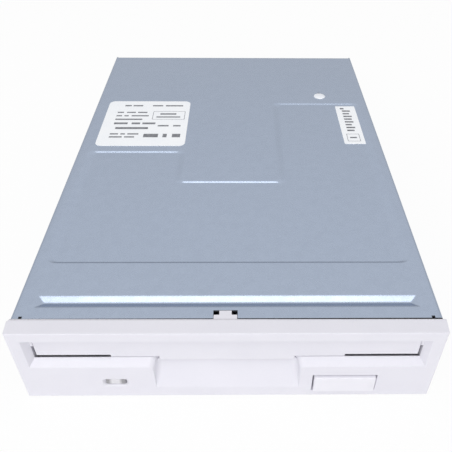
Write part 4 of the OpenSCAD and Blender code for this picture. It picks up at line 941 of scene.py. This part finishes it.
# Sensors: three small switches whose plungers feel the disk, the forked light gate that tells
# the outer track, and the lamp of the panel's indicator.
soften("switch_cases", "switch_bodies", chip_black, 0.18)
soften("track_gate", "track_zero_sensor", chip_black, 0.15)
for name, node in (("write_protect_tip", "write_protect_plunger"), ("density_tip", "density_plunger"),
                   ("disk_in_tip", "disk_in_plunger")):
    soften(name, node, cream_plastic, 0.35, 3)
lamp_resin = finish(
    "lamp_resin", Colour=(196, 208, 178), Shade=(176, 190, 158), Amount=0.5, Grain=0.5,
    Blotch=2, Rough=0.2, Spread=0.06, Coat_Weight=0.4)
soften("indicator_lamp", "activity_led", lamp_resin, 0.2, slot="lens_plastic")


# Front panel: a white moulding with a sunk band round the disk slot, a finger notch, and a hook
# on top that clips into the cover. The door is moulded in the same plastic.
panel_white = finish(
    "panel_plastic", Colour=(229, 228, 236), Shade=(222, 221, 230), Amount=0.7, Grain=0.16,
    Blotch=12, Rough=0.42, Spread=0.08, bump=0.12, depth=0.01, Specular_IOR_Level=0.4)


def notch_corner(a, b):
    """The edges where the finger notch cuts through the ledge under the slot."""
    near = all(16.2 < abs(p.x + 0.25) < 17.9 and p.z > 12.05 and p.y < 4.0 for p in (a, b))
    return near and abs(a.y - b.y) > 0.4


def panel_back(a, b):
    """The edge along the top that meets the cover."""
    return min(a.y, b.y) > 4.2 and min(a.z, b.z) > 25.3


def panel_rim(a, b):
    """Edges in the plane of the panel's face."""
    return max(a.y, b.y) < 0.1


soften("front_panel_moulding", "bezel", panel_white, 0.26, 3, reach=18.4,
       wider=((notch_corner, 1.1), (panel_back, 0.75)), only=panel_rim)
# the ends of the finger notch run into its floor in a hollow curve that widens upwards
rise, bow = (np.linspace(start, 1, count).tolist() for start, count in ((0.03, 12), (0, 11)))
hollows = []
for side in (1, -1):
    rings = []
    for t in rise:
        corner = Vector((side * (17.75 - 1.25 * t) - 0.25, 3.1 * t, 3.8 + 9.1 * t))
        on_wall = corner + 1.9 * t * Vector((side * 0.374, -0.927, 0))
        on_floor = corner - 2.6 * t * Vector((side, 0, 0))
        arc = [on_wall * (1 - u) ** 2 + corner * 2 * u * (1 - u) + on_floor * u ** 2 for u in bow]
        rings.append([tuple(v) for v in arc + [corner + Vector((side * 0.1, 0.1, 0))]][::side])
    hollows.append(skin("notch_hollows", rings, smooth=True))
notch_hollows = join_meshes("notch_hollows", hollows, panel_white)
notch_hollows.data.set_sharp_from_angle(angle=math.radians(38))
seat(notch_hollows, "frame", "panel_plastic")
soften("slot_door_moulding", "slot_door", panel_white, 0.16, 3)
button_white = finish(
    "button_plastic", Colour=(235, 234, 241), Shade=(228, 227, 235), Amount=0.7,
    Grain=0.14, Blotch=8, Rough=0.38, Spread=0.08, bump=0.1, depth=0.01, Specular_IOR_Level=0.45)
soften("eject_button_moulding", "eject_button", button_white, 0.3, 3, slot="panel_plastic")

# door spring: fine wire wound round the hinge, one leg on the panel and one on the door
hinge_y, hinge_z, coil_r, coil_x = 2.9, 20.6, 0.69, -40.3
coil = [Vector((coil_x + 3.6 * i / 160, hinge_y - coil_r * math.cos(a), hinge_z - coil_r * math.sin(a)))
        for i, a in ((i, math.pi * i / 16) for i in range(177))]
path = [Vector((coil_x, 2.21, 21.65)), Vector((coil_x, 2.21, 21.2))] + coil
path += [Vector((-36.35, 3.34, 19.4)), Vector((-36.35, 2.99, 18))]
coil_spring("door_coil_spring", "door_spring", [path], 0.15, "frame", "door",
            at(-40.2, hinge_y, hinge_z), at(-36.5, hinge_y, hinge_z))

# indicator lens: a clear domed moulding in its well, with painted shade towards the ends, where no light
# comes
tree, place, take = pattern(
    "lens_shade", Colour=(0.8, 0.8, 0.8, 1), Ends=(0.1, 0.1, 0.1, 1), Middle=0.0, Clear=1.0, Full=2.0)
offset = calc(tree, "SUBTRACT", put(tree, "ShaderNodeSeparateXYZ", {0: place}).outputs[0],
              calc(tree, "DIVIDE", take["Middle"], 1000))
away = calc(tree, "MULTIPLY_ADD", calc(tree, "ABSOLUTE", offset), 1000,
            calc(tree, "MULTIPLY", noise(tree, place, 900.0), 0.3))
dim = ramp(tree, away, take["Clear"], take["Full"])
lens_shade = close_pattern(
    tree, mix(tree, dim, take["Colour"], take["Ends"]),
    calc(tree, "MULTIPLY_ADD", noise(tree, place, 2500.0), 0.1, 0.12), dim)
lens_clear = finish(
    "lens_plastic", lens_shade, Colour=(217, 216, 221), Ends=(142, 141, 145), Middle=-27.8, Clear=1.0,
    Full=1.8, Coat_Weight=0.5)


def lens_rim(a, b):
    """The front edges of the lens."""
    return max(a.y, b.y) < 0.2


soften("indicator_lens", "led_lens", lens_clear, 0.1, 2, wider=((lens_rim, 0.5),))


# Cover: one sheet of galvanised steel, pressed with a groove, a broad shallow recess and a pip,
# then folded down at the sides and the rear. Windows in the sides snap over the tray.
def corner_rounded(points, radius):
    """The outline of a polygon with its corners turned into arcs."""
    outline = []
    for i, spot in enumerate(points):
        near = (spot, points[i - 1], points[(i + 1) % len(points)])
        here, before, after = (np.array(p, float) for p in near)
        into, out = before - here, after - here
        into, out = into / np.linalg.norm(into), out / np.linalg.norm(out)
        for t in np.linspace(0, 1, 7):
            a, b = here + into * radius * (1 - t), here + out * radius * t
            outline.append(a * (1 - t) + b * t)
    return np.array(outline)


def edge_distance(x, y, outline):
    """Distance of points to an outline, negative inside."""
    spots = np.stack([x, y], -1)
    least, inside = np.full(x.shape, 1e9), np.zeros(x.shape, bool)
    for a, b in zip(outline, np.roll(outline, -1, 0)):
        side = b - a
        t = np.clip(((spots - a) @ side) / max(side @ side, 1e-12), 0, 1)
        least = np.minimum(least, np.linalg.norm(spots - a - t[..., None] * side, axis=-1))
        crosses = (a[1] > y) != (b[1] > y)
        with np.errstate(divide="ignore", invalid="ignore"):
            inside ^= crosses & (x < (b[0] - a[0]) * (y - a[1]) / (b[1] - a[1]) + a[0])
    return np.where(inside, -least, least)


def eased(t):
    t = np.clip(t, 0, 1)
    return t * t * (3 - 2 * t)


def ruled(start, end, coarse, reach, marks, exact):
    """Lines across the sheet: coarse ones, finer ones within reach of marks, and exact ones."""
    fine_lines, least_apart = 15, 0.09
    lines = list(np.arange(start, end, coarse))
    for mark in marks:
        lines += list(mark + np.linspace(-reach, reach, fine_lines))
    fixed = sorted(set(exact) | {start, end})
    keep = list(fixed)
    for line in sorted(lines):
        if start < line < end and min(abs(line - k) for k in keep) > least_apart:
            keep.append(line)
    return np.array(sorted(keep))


bend, flange_low, rear_low = 0.8, 12.65, 22.5
side_x, sheet_top, sheet_y, sheet_end = 50.45, 25.0, 4.6, 145.0
bend_z = sheet_top - bend
pip_x, pip_y, pip_r, pip_rise = 33.2, 110.6, 2.2, 0.37
groove_y, groove_half, groove_end, groove_slope, end_slope = 9.8, 1.75, 45.9, 0.49, 0.533
groove_fillet, brim_fillet, brim_reach = 0.12, 0.08, 0.6
hook_left, hook_right, hook_rear = -3.4, 2.3, 6.95
relief_in, relief_out, relief_rear = 47.7, 48.5, 5.25
window_y, window_half, window_low, window_high = (60, 126), 2.7, 16.8, 19.2
recess_depth, drawn_out, sheet_gauge = 0.45, 3, 0.6
recess_edge = corner_rounded([(-46.05, 22.8), (46.05, 22.8), (46.05, 105), (15.9, 105), (15.9, 56.9),
                              (-16.2, 56.9), (-16.2, 73.1), (-46.05, 73.1)], 2.0)
flat_x = side_x - bend
lines_x = ruled(-flat_x, flat_x, 1.8, 1.6, [-46.05, -45.2, -16.2, 15.9, 32, pip_x, 34.4, 45.2, 46.05],
                [-relief_out, -relief_in, relief_in, relief_out, hook_left, hook_right])
lines_y = ruled(sheet_y, sheet_end - bend, 1.9, 1.1,
                [8.5, groove_y, 11.1, 22.8, 56.9, 73.1, 105, 109.4, pip_y, 111.8],
                [relief_rear, hook_rear, 57.3, 62.7, 123.3, 128.7])
grid_x, grid_y = np.meshgrid(lines_x, lines_y)
# the recess walls are drawn out further across the cover than along it
from_recess = edge_distance(grid_x / drawn_out, grid_y, recess_edge / (drawn_out, 1))
height = -recess_depth * eased(0.5 - from_recess)
from_groove = np.sqrt((grid_y - groove_y) ** 2 + groove_fillet ** 2)
wall = groove_slope * (groove_half + groove_fillet - from_groove)
depth = np.minimum(wall, end_slope * (groove_end - np.abs(grid_x)))
height -= np.where(depth > -brim_reach, 0.5 * (depth + np.sqrt(depth ** 2 + brim_fillet ** 2)), 0.0)
from_pip = np.hypot(grid_x - pip_x, grid_y - pip_y)
height += pip_rise * np.sqrt(np.clip(1 - (from_pip / pip_r) ** 2, 0, 1)) * (from_pip < pip_r)

flange_z = [flange_low, 14.7, window_low, 18.0, window_high, 21.7, bend_z]
arc = [math.radians(a) for a in (18, 36, 54, 72)]
left_side = [(-side_x, z) for z in flange_z]
left_side += [(-flat_x - bend * math.cos(a), bend_z + bend * math.sin(a)) for a in arc]
right_side = [(flat_x + bend * math.sin(a), bend_z + bend * math.cos(a)) for a in arc]
right_side += [(side_x, z) for z in flange_z[::-1]]
shape = bmesh.new()
grid = []
for y, rises in zip(lines_y, height):
    section = left_side + [(x, sheet_top + rise) for x, rise in zip(lines_x, rises)] + right_side
    grid.append([shape.verts.new(at(x, y, z)) for x, z in section])
first, width = len(left_side), len(grid[0])
last = first + len(lines_x) - 1


def sheet_face(a, b, c, d):
    face = shape.faces.new((a, b, c, d))
    face.smooth = True
    across, along, _ = face.calc_center_median() * 1000
    # faces on the top of the pip take its burnish and painted highlight
    face.material_index = 2 if math.hypot(across - pip_x, along + face_y - pip_y) < pip_r - 0.05 else 0


def open_at(x, y, z):
    """Whether the sheet is cut away: for the hook, at the front corners, and at the side windows."""
    hook = hook_left < x < hook_right and y < hook_rear
    relief = relief_in < abs(x) < relief_out and y < relief_rear
    beside = abs(x) > side_x - 0.05 and window_low < z < window_high
    return hook or relief or beside and min(abs(y - window) for window in window_y) < window_half


for i, y in enumerate((lines_y[:-1] + lines_y[1:]) / 2):
    for j in range(width - 1):
        middle = (grid[i][j].co + grid[i + 1][j + 1].co) * 500
        if not open_at(middle.x, y, middle.z):
            sheet_face(grid[i][j], grid[i][j + 1], grid[i + 1][j + 1], grid[i + 1][j])
fold = [(sheet_end - bend + bend * math.sin(a), bend_z + bend * math.cos(a)) for a in arc]
fold += [(sheet_end, z) for z in (bend_z, 23.3, rear_low)]
tail = [grid[-1][first:last + 1]]
for y, z in fold:
    tail.append([shape.verts.new(at(x, y, z)) for x in lines_x])
for low, high in zip(tail, tail[1:]):
    for j in range(len(low) - 1):
        sheet_face(low[j], low[j + 1], high[j + 1], high[j])
for edge in (grid[-1][:first + 1], grid[-1][last:]):
    cut_edge = [shape.verts.new(v.co + Vector((0, (bend - 0.05) / 1000, 0))) for v in edge]
    for k in range(len(edge) - 1):
        sheet_face(edge[k], edge[k + 1], cut_edge[k + 1], cut_edge[k])
bmesh.ops.delete(shape, geom=[v for v in shape.verts if not v.link_faces], context="VERTS")
sheet_steel = finish(
    "cover_steel", Colour=(168, 179, 197), Shade=(160, 171, 189), Amount=0.5, Grain=0.6,
    Blotch=2.4, Rough=0.27, Spread=0.1, Metallic=1.0, bump=0.009, depth=0.01)
# the sheet's cut edges: bare sheared steel, darkened beyond its own colour as painted shade for the dark
# line where the cover meets the panel
sheared_edge = finish(
    "sheared_edge", drawn_streaks, Colour=(96, 98, 104), Shade=(58, 58, 62), Amount=0.9, Long=0.5,
    Fine=0.12, Rough=0.62, Spread=0.2, Metallic=0.6)
# the top of the half-sheared pip has a burnish from the press tool, and is painted near white besides as
# a highlight that shines from any side
pip_burnish_and_highlight = finish(
    "burnished_pip", Colour=(246, 248, 252), Shade=(226, 231, 240), Amount=0.7, Grain=0.3,
    Blotch=1.5, Rough=0.5, Spread=0.1, Metallic=1.0)
cover = linked("cover_pressing", meshed("cover_pressing", shape, sheet_steel, sheared_edge, pip_burnish_and_highlight))
gauge = cover.modifiers.new("gauge", "SOLIDIFY")
gauge.thickness, gauge.offset, gauge.use_even_offset = sheet_gauge / 1000, -1, True
# the sheet's rim takes the cut edges' colour with its painted shade
gauge.material_offset_rim = 1
cover = settle(cover)
cover.data.set_sharp_from_angle(angle=math.radians(42))
seat(cover, "frame", "cover_steel", "top_cover")


# Labels: two paper stickers on the cover, a square one at the rear left and a narrow one at the
# right. They carry plain ruled lines and bars only.
def box_mm(node):
    """The corners of a CAD node's box."""
    return [(v.x * 1000, v.y * 1000 + face_y, v.z * 1000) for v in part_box(node)]


def sticker(name, node, radius):
    """A sheet of paper with round corners and a fine edge."""
    (x0, y0, z0), (x1, y1, z1) = box_mm(node)
    trim = 0.03

    def ring(z, t):
        r = radius - t
        return [(cx + r * math.cos(a), cy + r * math.sin(a), z)
                for cx, cy, q in ((x1 - radius, y1 - radius, 0), (x0 + radius, y1 - radius, 1),
                                  (x0 + radius, y0 + radius, 2), (x1 - radius, y0 + radius, 3))
                for a in (math.pi / 2 * (q + k / 6) for k in range(7))]

    piece = join_meshes(name, [skin(name, [ring(z0, 0), ring(z1 - trim, 0), ring(z1, trim)])], paper)
    seat(piece, "frame", "label_paper", node)


paper = finish(
    "label_paper", Colour=(250, 252, 255), Shade=(240, 244, 251), Amount=0.6, Grain=0.2,
    Blotch=6, Rough=0.42, Spread=0.08, bump=0.08, depth=0.01, Specular_IOR_Level=0.9)
ink = finish(
    "label_ink", Colour=(100, 102, 108), Shade=(158, 160, 166), Amount=0.8, Grain=0.25,
    Blotch=1.4, Rough=0.6, Spread=0.1)


def printing(name, node, bars):
    """Bars and rules printed on a sticker, in mm from its front left corner."""
    (x0, y0, _), (_, _, top) = box_mm(node)
    low, high, trim = top - 0.02, top + 0.012, 0.004
    printed = [skin(name, box_rings((x0 + a, y0 + c, low), (x0 + b, y0 + d, high), trim))
               for a, b, c, d in bars]
    seat(join_meshes(name, printed, ink), "frame", "label_paper")


def outline(a, b, c, d):
    """Four thin rules round a box."""
    rule, gap = 0.18, 0.01
    low, high = c + rule + gap, d - rule - gap
    return [(a, b, c, c + rule), (a, b, d - rule, d), (a, a + rule, low, high), (b - rule, b, low, high)]


sticker("square_label", "rating_label", 2.0)
sticker("narrow_label", "code_label", 0.4)
# height, thickness and runs of each row of bars
rows = [(26.2, 0.9, ((6, 8.4), (9, 12.6), (16.2, 20), (21, 27.4))),
        (21.4, 0.8, ((4, 6.3), (7.4, 10.6), (11.4, 14.8))),
        (19.0, 0.8, ((4, 6), (6.8, 8.4), (9.4, 15.6))), (16.5, 0.9, ((4, 13.6),)),
        (13.6, 1.2, ((4, 8.8), (10.2, 13.2), (14, 18.6))), (10.4, 1.3, ((5, 16.4),)),
        (6.9, 0.8, ((3.8, 6.6), (7.4, 9), (9.8, 13.6))), (5.0, 0.8, ((3.8, 8.2), (9, 12.4))),
        (20.2, 1.0, ((19.6, 25.4),)), (18.2, 0.8, ((18.4, 27),)), (12.2, 0.9, ((19.6, 23.4), (25, 27.6))),
        (5.2, 2.2, ((15.4, 20.4), (22, 23.4), (25.2, 28)))]
square = [(a, b, y, y + thick) for y, thick, runs in rows for a, b in runs]
printing("square_label_bars", "rating_label", square + outline(17, 28.6, 16.9, 22.6))
left, thick, lengths = 2.1, 0.95, (2.6, 3.1, 2.2, 3.1, 2.8, 3.1, 2.4, 3.0)
narrow = [(left, left + long, y, y + thick) for y, long in zip(np.arange(8, 21.6, 1.9), lengths)]
narrow += outline(1.4, 5.8, 1.6, 6.2) + [(2.4, 4.8, 3.5, 4.3), (1.6, 3, 23, 24)]
printing("narrow_label_bars", "code_label", narrow)
